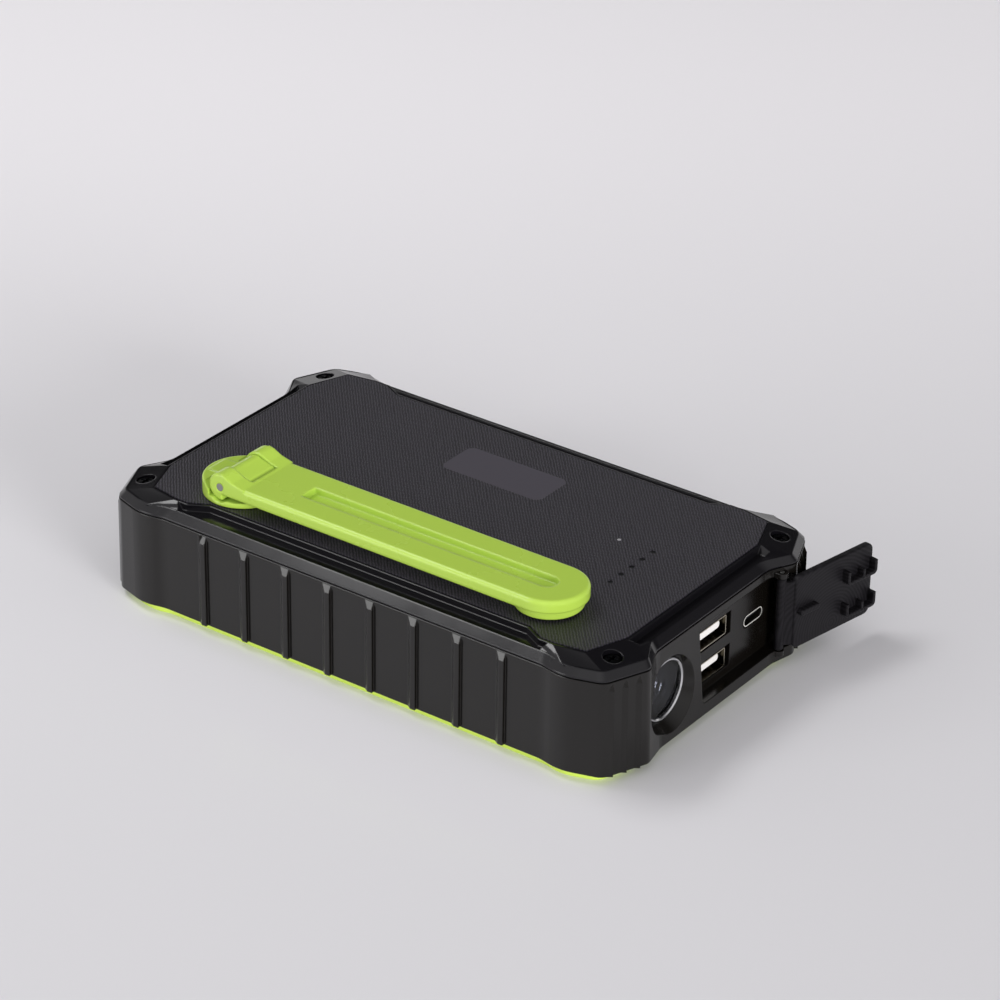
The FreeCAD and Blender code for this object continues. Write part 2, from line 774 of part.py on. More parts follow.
def top_cover():
    lid_z0 = parting_z + parting_gap
    lid = lid_rim(lid_z0).fuse(hip())
    y0 = inlay_half_y + lip_width
    y1 = side_y - rim_side_inset - trough_rim
    long_trough = trough(-trough_half_x, trough_half_x, y0, y1, trough_slope)
    wings = prism(inlay_outline(lip_width), trough_z, deck_z + over_cut)
    long_trough = long_trough.cut(wings)
    lid = lid.cut([long_trough, mirrored_y(long_trough), end_trough(), mirrored_x(end_trough())])
    pocket = prism(inlay_outline(inlay_gap), inlay_top_z - inlay_thick, deck_z + over_cut)
    under = prism(slab(-cavity_x, cavity_x, -cavity_y, cavity_y, cavity_round), lid_z0, lid_ceiling_z)
    posts = all_corners(rod(screw_post_r, screw_x, screw_y, lid_z0, lid_ceiling_z))
    lid = lid.cut([pocket, under.cut(Part.makeCompound(posts))])
    lid = lid.fuse(lid_bosses())
    recess_floor = deck_z - screw_recess_depth
    recess = rod(screw_head_r + screw_recess_gap, screw_x, screw_y, recess_floor, deck_z + over_cut)
    bore = rod(screw_shank_r + screw_hole_gap, screw_x, screw_y, lid_z0, recess_floor)
    holes = all_corners(recess.fuse(bore))
    low = lid_ceiling_z - over_cut
    holes += [rod(light_r + light_gap, x, y, low, deck_z + over_cut) for x, y in light_places()]
    holes.append(rod(lamp_r + light_gap, lamp_x, lamp_y, low, deck_z + over_cut))
    holes.append(rod(bush_r, crank_x, crank_y, lid_z0 - over_cut, deck_z + over_cut))
    holes += [rod(idler_pin_r, x, y, idler_boss_z, idler_pin_top) for x, y in idler_places()]
    stud_top = lid_ceiling_z + standoff_stud
    holes += [rod(board_screw_r, x, y, lid_z0, stud_top) for x, y in plate_post_xy]
    return lid.cut(holes).removeSplitter()


def light_places():
    return [(light_x, light_first_y + i * light_pitch) for i in range(light_count)]


def top_inlay():
    plate = prism(inlay_outline(0), inlay_top_z - inlay_thick, inlay_top_z)
    holes = [rod(light_r + light_gap, x, y, 0, deck_z + over_cut) for x, y in light_places()]
    holes.append(rod(lamp_r + light_gap, lamp_x, lamp_y, 0, deck_z + over_cut))
    holes.append(rod(bush_flange_r + inlay_gap, crank_x, crank_y, 0, deck_z + over_cut))
    return plate.cut(holes)


def screw(r, head_r, head_h, x, y, tip_z, seat_z):
    """A screw that points down, its head standing on seat_z."""
    body = rod(r, x, y, tip_z, seat_z).fuse(rod(head_r, x, y, seat_z, seat_z + head_h))
    top = seat_z + head_h
    return body.cut(rod(socket_r, x, y, top - socket_depth, top))


def cover_screws():
    one = screw(screw_shank_r, screw_head_r, screw_head_h, screw_x, screw_y, screw_end_z,
                deck_z - screw_recess_depth)
    return Part.makeCompound(all_corners(one))


# ---------------------------------------------------------------- indicator lights


def indicator_pipes():
    foot = light_board_z + board_thick + chip_high + chip_gap
    pipes = [rod(light_r, x, y, foot, inlay_top_z - light_sunk) for x, y in light_places()]
    return Part.makeCompound(pipes)


def charge_lamp():
    foot = light_board_z + board_thick + chip_high + chip_gap
    return rod(lamp_r, lamp_x, lamp_y, foot, inlay_top_z)


def indicator_board():
    return box(light_board_x0, light_board_x1, -light_board_half_y, light_board_half_y,
               light_board_z, light_board_z + board_thick)


def indicator_chips():
    z0 = light_board_z + board_thick
    spots = light_places() + [(lamp_x, lamp_y)]
    wide = chip_wide / 2
    long = chip_long / 2
    chips = [box(x - wide, x + wide, y - long, y + long, z0, z0 + chip_high) for x, y in spots]
    return Part.makeCompound(chips)


# ---------------------------------------------------------------- torch


def turned_x(profile):
    """A solid of revolution about the torch's axis from (x, radius) points."""
    points = [V(x, torch_y, torch_z + r) for x, r in profile]
    face = Part.Face(Part.makePolygon(points + points[:1]))
    return face.revolve(V(0, torch_y, torch_z), V(1, 0, 0), 360)


def torch_bezel():
    outer = torch_bore_r - bezel_gap
    inner = outer - bezel_wall
    front = bezel_front_x
    return turned_x([
        (front - bezel_long, inner), (front - bezel_chamfer, inner), (front, inner + bezel_chamfer),
        (front, outer - bezel_chamfer), (front - bezel_chamfer, outer), (front - bezel_long, outer)])


def torch_lens():
    r = torch_bore_r - bezel_gap - bezel_wall - bezel_gap
    front = bezel_front_x - lens_sunk
    return rod_x(r, front - lens_thick, front, torch_y, torch_z)


def reflector_profile(grow, x0, x1):
    """Points of the bowl's curve, a parabola from its throat to its mouth."""
    mouth_r = torch_bore_r - bezel_gap - bezel_wall - bezel_gap - reflector_wall
    points = []
    for i in range(bowl_steps + 1):
        share = i / bowl_steps
        r = reflector_throat_r + (mouth_r - reflector_throat_r) * math.sqrt(share)
        points.append((x0 + (x1 - x0) * share, r + grow))
    return points


def torch_reflector():
    x1 = bezel_front_x - lens_sunk - lens_thick
    inner = reflector_profile(0, torch_tube_x, x1)
    outer = reflector_profile(reflector_wall, torch_tube_x, x1)
    return turned_x(inner + outer[::-1])


def torch_led():
    x0 = torch_tube_x
    x1 = x0 + led_base_thick
    base = block_x(x0, x1, torch_y, led_base, torch_z, led_base)
    dome = Part.makeSphere(led_dome_r, V(x1, torch_y, torch_z), V(1, 0, 0), 0, 90, 360)
    return base.fuse(dome)


def torch_board():
    return rod_x(torch_board_r, torch_tube_x - board_thick, torch_tube_x, torch_y, torch_z)


# ---------------------------------------------------------------- sockets and boards


def usb_shell(z):
    """A folded steel sleeve around a socket."""
    x0 = usb_face_x - usb_depth
    walls = 2 * usb_wall
    outer = centred_plate(x0, usb_face_x, usb_y, usb_width + walls, z, usb_height + walls, usb_round)
    return outer.cut(centred_plate(x0, usb_face_x, usb_y, usb_width, z, usb_height, usb_round - usb_wall))


def usb_tongue(z):
    """The insulating block at the back of a socket and the tongue that stands out of it."""
    x0 = usb_face_x - usb_depth
    x1 = x0 + tongue_root
    root = centred_plate(x0, x1, usb_y, usb_width, z, usb_height, usb_round - usb_wall)
    tongue = block_x(x1, usb_face_x - tongue_sunk, usb_y, tongue_width, z + tongue_up, tongue_height)
    return root.fuse(tongue).removeSplitter()


def usb_spacer():
    """The block between the two stacked sockets."""
    half = usb_width / 2
    low = usb_zs[0] + usb_height / 2 + usb_wall
    high = usb_zs[1] - usb_height / 2 - usb_wall
    x0 = usb_face_x - usb_depth
    return box(x0, cavity_x - usb_spacer_end, usb_y - half, usb_y + half, low, high)


def input_shell():
    x0 = input_face_x - input_depth
    return stadium_x(0, x0, input_face_x).cut(stadium_x(-input_wall, x0, input_face_x))


def input_tongue():
    x0 = input_face_x - input_depth
    x1 = x0 + input_root
    root = stadium_x(-input_wall, x0, x1)
    tip = input_face_x - input_tongue_sunk
    tongue = block_x(x1, tip, input_y, input_tongue_w, input_z, input_tongue_h)
    return root.fuse(tongue).removeSplitter()


def main_board():
    low = main_board_low()
    high = low + main_board_thick
    board = box(main_board_x0, main_board_x1, main_board_y0, main_board_y1, low, high)
    return board.cut([rod(board_screw_r + screw_clear, x, y, low, high) for x, y in board_screw_xy])


def main_board_low():
    """Height of the main board's lower face: the lower socket sits on its upper face."""
    return usb_zs[0] - usb_height / 2 - usb_wall - board_seat_gap - main_board_thick


def input_board_low():
    return input_z - input_height / 2 - board_thick


def input_board():
    low = input_board_low()
    return box(input_board_x0, main_board_x1, input_board_y0, input_board_y1, low, low + board_thick)


def board_spacers():
    low = main_board_low() + main_board_thick
    xs = (input_board_x0 + spacer_inset, main_board_x1 - spacer_inset)
    ys = (input_board_y0 + spacer_inset, input_board_y1 - spacer_inset)
    return Part.makeCompound([rod(spacer_r, x, y, low, input_board_low()) for x in xs for y in ys])


def board_screws():
    seat = main_board_low() + main_board_thick
    return Part.makeCompound([
        screw(board_screw_r, board_screw_head_r, board_screw_head_h, x, y, case_foot_z, seat)
        for x, y in board_screw_xy])


def battery_cells():
    cells = []
    for i in range(cell_count):
        z0 = cell_z0 + i * (cell_thick + cell_gap)
        outline = slab(cell_x0, cell_x1, -cell_half_y, cell_half_y, cell_round)
        cells.append(prism(outline, z0, z0 + cell_thick))
    return Part.makeCompound(cells)


# ---------------------------------------------------------------- power button


def power_button():
    half = button_width / 2
    rise = button_height / 2
    r = button_round - button_gap
    cap = plate_x(-half, half, switch_z - rise, switch_z + rise, r, button_face_x, flange_x)
    flange = plate_x(-half - flange_over, half + flange_over, switch_z - rise - flange_over,
                     switch_z + rise + flange_over, r, flange_x, flange_x + flange_thick)
    return cap.fuse(flange).removeSplitter()


def button_switch():
    """A tactile switch: its body on the board and its plunger just behind the button."""
    tip = flange_x + flange_thick + button_travel + plunger_gap
    x0 = -cavity_x + switch_front
    body = block_x(x0, switch_board_x, 0, switch_width, switch_z, switch_width)
    plunger = rod_x(plunger_r, tip, x0, 0, switch_z)
    return body.fuse(plunger)


def switch_board():
    return box(switch_board_x, switch_board_x + board_thick, -switch_board_half_y, switch_board_half_y,
               switch_z - switch_board_half_z, switch_z + switch_board_half_z)


# ---------------------------------------------------------------- port flap


def opened(shape):
    """Turn a shape from the flap's closed place to its open place."""
    shape.rotate(V(flap_axis_x, flap_axis_y, 0), UP, flap_open)
    return shape


def usb_plug(z):
    """A rubber plug on the closed flap's inner face: a channel that is open along its top."""
    x1 = flap_axis_x - flap_offset - flap_thick
    x0 = x1 - plug_high
    width = usb_width - 2 * plug_gap
    height = usb_height - 2 * plug_gap
    outer = centred_plate(x0, x1 + merge, usb_y, width, z, height, plug_round)
    hollow = block_x(x0, x1, usb_y, width - 2 * plug_wall, z + plug_wall, height)
    return outer.cut(hollow)


def input_plug():
    x1 = flap_axis_x - flap_offset - flap_thick
    return stadium_x(-input_wall - plug_gap, x1 - input_plug_high, x1 + merge)


def port_flap():
    """The rubber flap: hinge barrel, leaf, plate with round corners and a plug for each socket."""
    z0 = recess_z0 + flap_gap
    z1 = recess_z1 - flap_gap
    x1 = flap_axis_x - flap_offset
    x0 = x1 - flap_thick
    y1 = flap_axis_y - flap_start
    plate = plate_x(y1 - flap_length, y1, z0, z1, flap_round, x0, x1)
    barrel = rod(barrel_r, flap_axis_x, flap_axis_y, z0 + ear_gap, z1 - ear_gap)
    near = barrel_r * leaf_near
    leaf = prism([
        (flap_axis_x - near, flap_axis_y + leaf_half, 0), (flap_axis_x + leaf_half, flap_axis_y - near, 0),
        (x1 - leaf_inset, y1 - leaf_bite, 0), (x0 + leaf_inset, y1 - leaf_bite, 0)],
        z0 + leaf_trim, z1 - leaf_trim)
    flap = plate.fuse([barrel, leaf]).cut(pin_rod(hinge_pin_r + pin_gap))
    plugs = [usb_plug(z) for z in usb_zs] + [input_plug()]
    return opened(flap.fuse(plugs).removeSplitter())


def pin_rod(r):
    """A rod on the flap's axis, from the blind hole in the lower ear to the top of the upper one."""
    low = recess_z0 - ear_thick + pin_blind
    return rod(r, flap_axis_x, flap_axis_y, low, recess_z1 + ear_thick)


def flap_hinge_pin():
    return pin_rod(hinge_pin_r)


# ---------------------------------------------------------------- crank


def side_profile(points, half):
    """A solid drawn in the XZ plane and as wide as twice half, centred on the crank."""
    spots = [V(x, crank_y - half, z) for x, z in points]
    return Part.Face(Part.makePolygon(spots + spots[:1])).extrude(V(0, 2 * half, 0))


def crank_hub():
    """The turning hub: a disc cut away for the fork's ears, a spine and the knuckle on it."""
    disc = rod(hub_r, crank_x, crank_y, hub_z0, hub_left_z)
    top_edges = [e for e in disc.Edges if abs(e.BoundBox.ZMin - hub_left_z) < 0.01]
    disc = disc.makeFillet(hub_round, top_edges)
    sweep = ear_round + ear_sweep_gap
    wide = hub_r + over_cut
    inner = knuckle_half + knuckle_gap
    top = hub_left_z + over_cut
    right = pivot_x + 2 * hub_r
    cuts = [box(pivot_x + web_reach - fork_gap, right, crank_y - wide, crank_y + wide, hub_right_z, top)]
    lobe = pivot_x - lobe_reach
    for side in (-1, 1):
        y0, y1 = sorted((crank_y + side * inner, crank_y + side * wide))
        pocket = side_profile([
            (pivot_x - sweep, hub_pocket_z), (pivot_x - sweep, pivot_z - hub_shoulder),
            (lobe, pivot_z - hub_lobe_drop),
            (lobe, top), (right, top), (right, hub_pocket_z)], (wide - inner) / 2)
        pocket.translate(V(0, side * (wide + inner) / 2, 0))
        cuts.append(pocket)
        cuts.append(rod_y(sweep, pivot_x, y0, y1, pivot_z))
    spine_x = crank_x - hub_r + spine_inset
    spine = side_profile([
        (spine_x, hub_pocket_z), (spine_x, hub_left_z - spine_drop),
        (spine_x + spine_bevel, hub_spine_z), (pivot_x, hub_spine_z), (pivot_x, hub_pocket_z)],
        spine_half)
    barrel = rod_y(knuckle_r, pivot_x, crank_y - knuckle_half, crank_y + knuckle_half, pivot_z)
    end = pivot_x + knuckle_reach
    arm_top = arm_z0 + arm_thick
    tongue = side_profile([
        (pivot_x - knuckle_r, hub_pocket_z), (pivot_x - knuckle_r, pivot_z),
        (pivot_x + knuckle_crest, pivot_z + knuckle_r * knuckle_crest_r),
        (end - tongue_bevel, arm_top + tongue_top),
        (end, arm_top - tongue_nose), (end, hub_pocket_z)], knuckle_half)
    boss = rod(shaft_r + shaft_boss_wall, crank_x, crank_y, hub_boss_z(), hub_z0)
    hub = disc.cut(cuts).fuse([spine, barrel, tongue, boss])
    hub = hub.cut(rod(shaft_r, crank_x, crank_y, hub_boss_z(), shaft_top_z))
    hub = hub.cut(rod_y(pivot_pin_r + run_gap, pivot_x, crank_y - wide, crank_y + wide, pivot_z))
    return hub.removeSplitter()


def crank_arm():
    """The folding arm: a bar with a round tip, a fork with ears at the pin and a long groove."""
    top = arm_z0 + arm_thick
    bar = rod(arm_half, arm_tip_x, crank_y, arm_z0, top)
    straight = box(pivot_x, arm_tip_x, crank_y - arm_half, crank_y + arm_half, arm_z0, top)
    bar = bar.fuse(straight).removeSplitter()
    crest = [e for e in bar.Edges if e.BoundBox.ZMin > top - 0.01 and e.BoundBox.XMax > pivot_x + over_cut]
    bar = bar.makeFillet(arm_round, crest)
    ramp_end = pivot_x + web_reach + ramp_run
    ramp = side_profile([
        (pivot_x, arm_z0), (pivot_x, pivot_z + ear_round),
        (pivot_x + ramp_crest, pivot_z + ear_round * ramp_crest_r),
        (pivot_x + ramp_knee, top + ramp_knee_up),
        (ramp_end, top), (ramp_end, arm_z0)], arm_half)
    ears = rod_y(ear_round, pivot_x, crank_y - arm_half, crank_y + arm_half, pivot_z)
    ears = ears.cut(box(pivot_x + ear_heel, ramp_end, crank_y - arm_half, crank_y + arm_half, 0, arm_z0))
    outer = [e for e in ears.Edges if e.BoundBox.YLength < 0.01 and e.BoundBox.ZLength > ear_round]
    arm = bar.fuse([ramp, ears.makeFillet(ear_edge, outer)])
    fork = knuckle_half + fork_gap
    slot_end = pivot_x + web_reach
    behind = pivot_x - ear_round - over_cut
    below = pivot_z - ear_round - over_cut
    above = pivot_z + ear_round + over_cut
    arm = arm.cut(box(behind, slot_end, crank_y - fork, crank_y + fork, below, above))
    half = groove_width / 2
    full = half - 0.01
    groove = prism([(groove_x0, crank_y - half, groove_round), (groove_x1, crank_y - half, full),
                    (groove_x1, crank_y + half, full), (groove_x0, crank_y + half, groove_round)],
                   top - groove_depth, top + over_cut)
    post = rod(knob_post_r, arm_tip_x, crank_y, knob_post_z(), arm_z0)
    arm = arm.cut(groove).fuse(post)
    arm = arm.cut(rod(knob_screw_r, arm_tip_x, crank_y, knob_post_z(), arm_z0 + knob_screw_bite))
    arm = arm.cut(rod_y(pivot_pin_r, pivot_x, crank_y - arm_half, crank_y + arm_half, pivot_z))
    return arm.removeSplitter()


def knob_post_z():
    """Height of the foot of the post that the knob turns on."""
    return knob_z0 + knob_play + knob_screw_head_h


def crank_hinge_pin():
    return rod_y(pivot_pin_r, pivot_x, crank_y - arm_half, crank_y + arm_half, pivot_z)


def crank_knob():
    """The low grip under the arm's tip, hollowed below for the head of its screw."""
    top = arm_z0 - knob_gap
    knob = rod(knob_r, arm_tip_x, crank_y, knob_z0, top)
    rims = [e for e in knob.Edges if e.BoundBox.ZLength < 0.01]
    knob = knob.makeFillet(knob_round, rims)
    knob = knob.cut(rod(knob_post_r + run_gap, arm_tip_x, crank_y, knob_z0, top))
    head_room = knob_screw_head_r + knob_head_gap
    return knob.cut(rod(head_room, arm_tip_x, crank_y, knob_z0, knob_post_z() + knob_play))


def knob_screw():
    """The screw that holds the knob on its post, head down."""
    seat = knob_post_z()
    head = rod(knob_screw_head_r, arm_tip_x, crank_y, seat - knob_screw_head_h, seat)
    shank = rod(knob_screw_r, arm_tip_x, crank_y, seat, arm_z0 + knob_screw_bite)
    low = seat - knob_screw_head_h
    return head.fuse(shank).cut(rod(socket_r, arm_tip_x, crank_y, low, low + knob_socket_depth))


def crank_shaft():
    foot = rod(shaft_foot_r, crank_x, crank_y, plate_z, shaft_step_z)
    shaft = rod(shaft_r, crank_x, crank_y, shaft_step_z, shaft_top_z).fuse(foot)
    neck = shaft_r - clip_groove_depth
    return shaft.cut(ring(shaft_r, neck, crank_x, crank_y, clip_z(), clip_z() + clip_thick))


def clip_z():
    """Height of the retaining clip, just under the bush."""
    return bush_low_z() - clip_gap - clip_thick


def bush_low_z():
    return lid_ceiling_z - bush_below


def hub_boss_z():
    """Foot of the boss around the shaft, just above the bush's flange."""
    return inlay_top_z - inlay_thick + bush_flange_h + hub_boss_gap


def retaining_clip():
    """A C-shaped clip in the shaft's groove, open on one side."""
    neck = shaft_r - clip_groove_depth
    clip = ring(clip_r, neck, crank_x, crank_y, clip_z(), clip_z() + clip_thick)
    half = neck * clip_mouth
    top = clip_z() + clip_thick
    outside = crank_x + clip_r + over_cut
    return clip.cut(box(crank_x, outside, crank_y - half, crank_y + half, clip_z(), top))


def hub_bush():
    """The flanged bush that guides the shaft through the lid."""
    seat = inlay_top_z - inlay_thick
    flange = rod(bush_flange_r, crank_x, crank_y, seat, seat + bush_flange_h)
    bush = rod(bush_r, crank_x, crank_y, bush_low_z(), seat).fuse(flange)
    return bush.cut(rod(shaft_r + run_gap, crank_x, crank_y, bush_low_z(), seat + bush_flange_h))


# ---------------------------------------------------------------- gears


def pitch_r(module, teeth):
    return module * teeth / 2


def polar(x, y, reach, degrees):
    """A point at a distance and direction from (x, y)."""
    turn = math.radians(degrees)
    return x + reach * math.cos(turn), y + reach * math.sin(turn)


def idler_places():
    """Axes of the first and second idler gears."""
    coarse_reach = pitch_r(coarse_module, drive_teeth + drive_pinion_teeth)
    fine_reach = pitch_r(fine_module, second_teeth + second_pinion_teeth)
    first = polar(crank_x, crank_y, coarse_reach, first_turn)
    return [first, polar(first[0], first[1], fine_reach, second_turn)]


def rotor_place():
    x, y = idler_places()[1]
    return polar(x, y, pitch_r(fine_module, third_teeth + rotor_teeth), rotor_turn)


def follower_phase(teeth, phase, follower_teeth, turn):
    """Direction of a tooth of a gear that meshes with one whose tooth points along phase."""
    step = 360 / teeth
    lag = (turn - phase) % step
    return turn + 180 + lag * teeth / follower_teeth + 180 / follower_teeth


def gear(module, teeth, phase, x, y, z0, z1):
    """A spur gear with involute flanks above its base circle, one tooth pointing along phase."""
    pitch = pitch_r(module, teeth)
    base = pitch * math.cos(math.radians(pressure_angle))
    root = pitch - dedendum * module
    tip = pitch + addendum * module
    half_tooth = math.pi * tooth_share / teeth

    def spread(r):
        """Angle between the involute's foot on the base circle and its point at radius r."""
        tangent = math.sqrt(max((r / base) ** 2 - 1, 0))
        return tangent - math.atan(tangent)

    radii = [root, max(base, root), pitch, tip]
    if base < root:
        radii = [root, (root + pitch) / 2, pitch, tip]
    flank = [(r, half_tooth + spread(pitch) - spread(r)) for r in radii]
    points = []
    for i in range(teeth):
        middle = math.radians(phase) + 2 * math.pi * i / teeth
        for r, half in flank:
            points.append(V(x + r * math.cos(middle - half), y + r * math.sin(middle - half), z0))
        for r, half in reversed(flank):
            points.append(V(x + r * math.cos(middle + half), y + r * math.sin(middle + half), z0))
    return Part.Face(Part.makePolygon(points + points[:1])).extrude(V(0, 0, z1 - z0))


drive_phase = first_turn
first_pinion_phase = follower_phase(drive_teeth, drive_phase, drive_pinion_teeth, first_turn)
second_pinion_phase = follower_phase(second_teeth, first_turn, second_pinion_teeth, second_turn)
rotor_phase = follower_phase(third_teeth, second_turn, rotor_teeth, rotor_turn)


def drive_gear():
    wheel = gear(coarse_module, drive_teeth, drive_phase, crank_x, crank_y, drive_z0, drive_z1)
    top = drive_z1 + drive_hub_up
    hub = rod(shaft_r + drive_hub_wall, crank_x, crank_y, shaft_step_z, top)
    return wheel.fuse(hub).cut(rod(shaft_r, crank_x, crank_y, shaft_step_z, top))


def idler_gear_1():
    """Pinion driven by the crank's gear, with the larger wheel below it."""
    x, y = idler_places()[0]
    top = drive_z1 + mesh_over
    pinion = gear(coarse_module, drive_pinion_teeth, first_pinion_phase, x, y, second_z1, top)
    wheel = gear(fine_module, second_teeth, first_turn, x, y, second_z0, second_z1)
    sleeve = rod(sleeve_r, x, y, plate_z + plate_thick + plate_play, second_z0)
    return fused([pinion, wheel, sleeve]).cut(rod(idler_pin_r + run_gap, x, y, plate_z, top))


def idler_gear_2():
    """Pinion driven by the first idler's wheel, with the third wheel below and a sleeve above."""
    x, y = idler_places()[1]
    wheel = gear(fine_module, third_teeth, second_turn, x, y, third_z0, third_z1)
    top = second_z1 + mesh_over
    pinion = gear(fine_module, second_pinion_teeth, second_pinion_phase, x, y, third_z1, top)
    sleeve = rod(sleeve_r, x, y, top, idler_top_z)
    foot = rod(sleeve_r, x, y, plate_z + plate_thick + plate_play, third_z0)
    bore = rod(idler_pin_r + run_gap, x, y, plate_z, idler_top_z)
    return fused([wheel, pinion, sleeve, foot]).cut(bore)


def idler_pins():
    return Part.makeCompound([rod(idler_pin_r, x, y, plate_z, idler_pin_top) for x, y in idler_places()])


def gear_plate():
    """The steel plate that the shaft's foot, the idler pins and the generator sit in."""
    rx, ry = rotor_place()
    spots = [(crank_x, crank_y)] + idler_places() + [(rx, ry)] + list(plate_post_xy)
    x0 = min(x for x, y in spots) - plate_margin
    x1 = max(x for x, y in spots) + plate_margin
    y0 = min(y for x, y in spots) - plate_margin
    y1 = max(y for x, y in spots) + can_r
    plate = prism(slab(x0, x1, y0, y1, plate_margin), plate_z, plate_z + plate_thick)
    top = plate_z + plate_thick
    holes = [rod(shaft_foot_r + run_gap, crank_x, crank_y, plate_z, top)]
    holes += [rod(idler_pin_r, x, y, plate_z, top) for x, y in idler_places()]
    holes.append(rod(pitch_r(fine_module, rotor_teeth) + pinion_clear, rx, ry, plate_z, top))
    holes += [rod(board_screw_r + screw_clear, x, y, plate_z, top) for x, y in plate_post_xy]
    return plate.cut(holes)


def plate_standoffs():
    """Pillars between the lid and the gear plate, studded above and threaded below."""
    low = plate_z + plate_thick
    pillars = []
    for x, y in plate_post_xy:
        pillar = rod(plate_post_r, x, y, low, lid_ceiling_z)
        stud = rod(board_screw_r, x, y, lid_ceiling_z, lid_ceiling_z + standoff_stud)
        bore = rod(board_screw_r, x, y, low, low + plate_screw_bite)
        pillars.append(pillar.fuse(stud).cut(bore))
    return Part.makeCompound(pillars)


def plate_screws():
    """Screws that hold the gear plate to its standoffs, heads below the plate."""
    screws = []
    for x, y in plate_post_xy:
        top = plate_z + plate_thick + plate_screw_bite - plate_screw_short
        shank = rod(board_screw_r, x, y, plate_z, top)
        head = rod(board_screw_head_r, x, y, plate_z - board_screw_head_h, plate_z)
        screws.append(shank.fuse(head))
    return Part.makeCompound(screws)


# ---------------------------------------------------------------- generator


def generator_can():
    x, y = rotor_place()
    top = plate_z - end_bell_h
    can = rod(can_r, x, y, can_z0, top)
    return can.cut(rod(can_r - can_wall, x, y, can_z0 + can_wall, top))


def generator_end_bell():
    x, y = rotor_place()
    bell = rod(can_r, x, y, plate_z - end_bell_h, plate_z)
    return bell.cut(rod(rotor_shaft_r + run_gap, x, y, plate_z - end_bell_h, plate_z))


def generator_stator():
    x, y = rotor_place()
    return ring(can_r - can_wall, stator_inner_r, x, y, stator_z0, stator_z1)


def generator_rotor():
    """The magnet drum on its shaft, with the last pinion on top."""
    x, y = rotor_place()
    drum = rod(rotor_r, x, y, stator_z0 + rotor_end_gap, stator_z1 - rotor_end_gap)
    shaft = rod(rotor_shaft_r, x, y, can_z0 + can_wall + rotor_foot_gap, third_z1 + mesh_over)
    return fused([drum, shaft])


def rotor_pinion():
    x, y = rotor_place()
    pinion = gear(fine_module, rotor_teeth, rotor_phase, x, y, third_z0 - mesh_over, third_z1 + mesh_over)
    return pinion.cut(rod(rotor_shaft_r, x, y, plate_z, third_z1 + over_cut))


def case_seal():
    return seal_groove(parting_z - seal_depth, parting_z + parting_gap, 0)


def main():
    os.makedirs("parts", exist_ok=True)
    pieces = {
        "mid_case": mid_case(),
        "bottom_cover": bottom_cover(),
        "top_cover": top_cover(),
        "top_inlay": top_inlay(),
        "case_seal": case_seal(),
        "solar_panel": solar_panel(),
        "cover_screws": cover_screws(),
        "indicator_pipes": indicator_pipes(),
        "charge_lamp": charge_lamp(),
        "indicator_board": indicator_board(),
        "indicator_chips": indicator_chips(),
        "torch_bezel": torch_bezel(),
        "torch_lens": torch_lens(),
        "torch_reflector": torch_reflector(),
        "torch_led": torch_led(),
        "torch_board": torch_board(),
        "usb_spacer": usb_spacer(),
        "input_port_shell": input_shell(),
        "input_port_tongue": input_tongue(),
        "main_board": main_board(),
        "input_board": input_board(),
        "board_spacers": board_spacers(),
        "board_screws": board_screws(),
        "battery_cells": battery_cells(),
        "power_button": power_button(),
        "button_switch": button_switch(),
        "switch_board": switch_board(),
        "port_flap": port_flap(),
        "flap_hinge_pin": flap_hinge_pin(),
        "crank_hub": crank_hub(),
        "crank_arm": crank_arm(),
        "crank_hinge_pin": crank_hinge_pin(),
        "crank_knob": crank_knob(),
        "knob_screw": knob_screw(),
        "crank_shaft": crank_shaft(),
        "retaining_clip": retaining_clip(),
        "hub_bush": hub_bush(),
        "drive_gear": drive_gear(),
        "idler_gear_1": idler_gear_1(),
        "idler_gear_2": idler_gear_2(),
        "idler_pins": idler_pins(),
        "gear_plate": gear_plate(),
        "plate_standoffs": plate_standoffs(),
        "plate_screws": plate_screws(),
        "generator_can": generator_can(),
        "generator_end_bell": generator_end_bell(),
        "generator_stator": generator_stator(),
        "generator_rotor": generator_rotor(),
        "rotor_pinion": rotor_pinion(),
    }
    for name, z in zip(usb_names, usb_zs):
        pieces["usb_shell_" + name] = usb_shell(z)
        pieces["usb_tongue_" + name] = usb_tongue(z)
    for name, shape in pieces.items():
        write(name, shape)


main()
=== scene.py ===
"""Looks of a rugged hand crank phone charger: moulded finishes, fine metal parts and a rubber port flap.

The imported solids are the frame. New pieces are surfaces over two parameters, worked out as whole arrays.
Lengths are metres, X runs along the case towards its sockets and Z is up.
"""
import json
import math

import bmesh
import bpy
import numpy as np
from bpy.props import FloatProperty, FloatVectorProperty, IntProperty, PointerProperty
from mathutils import Matrix, Vector


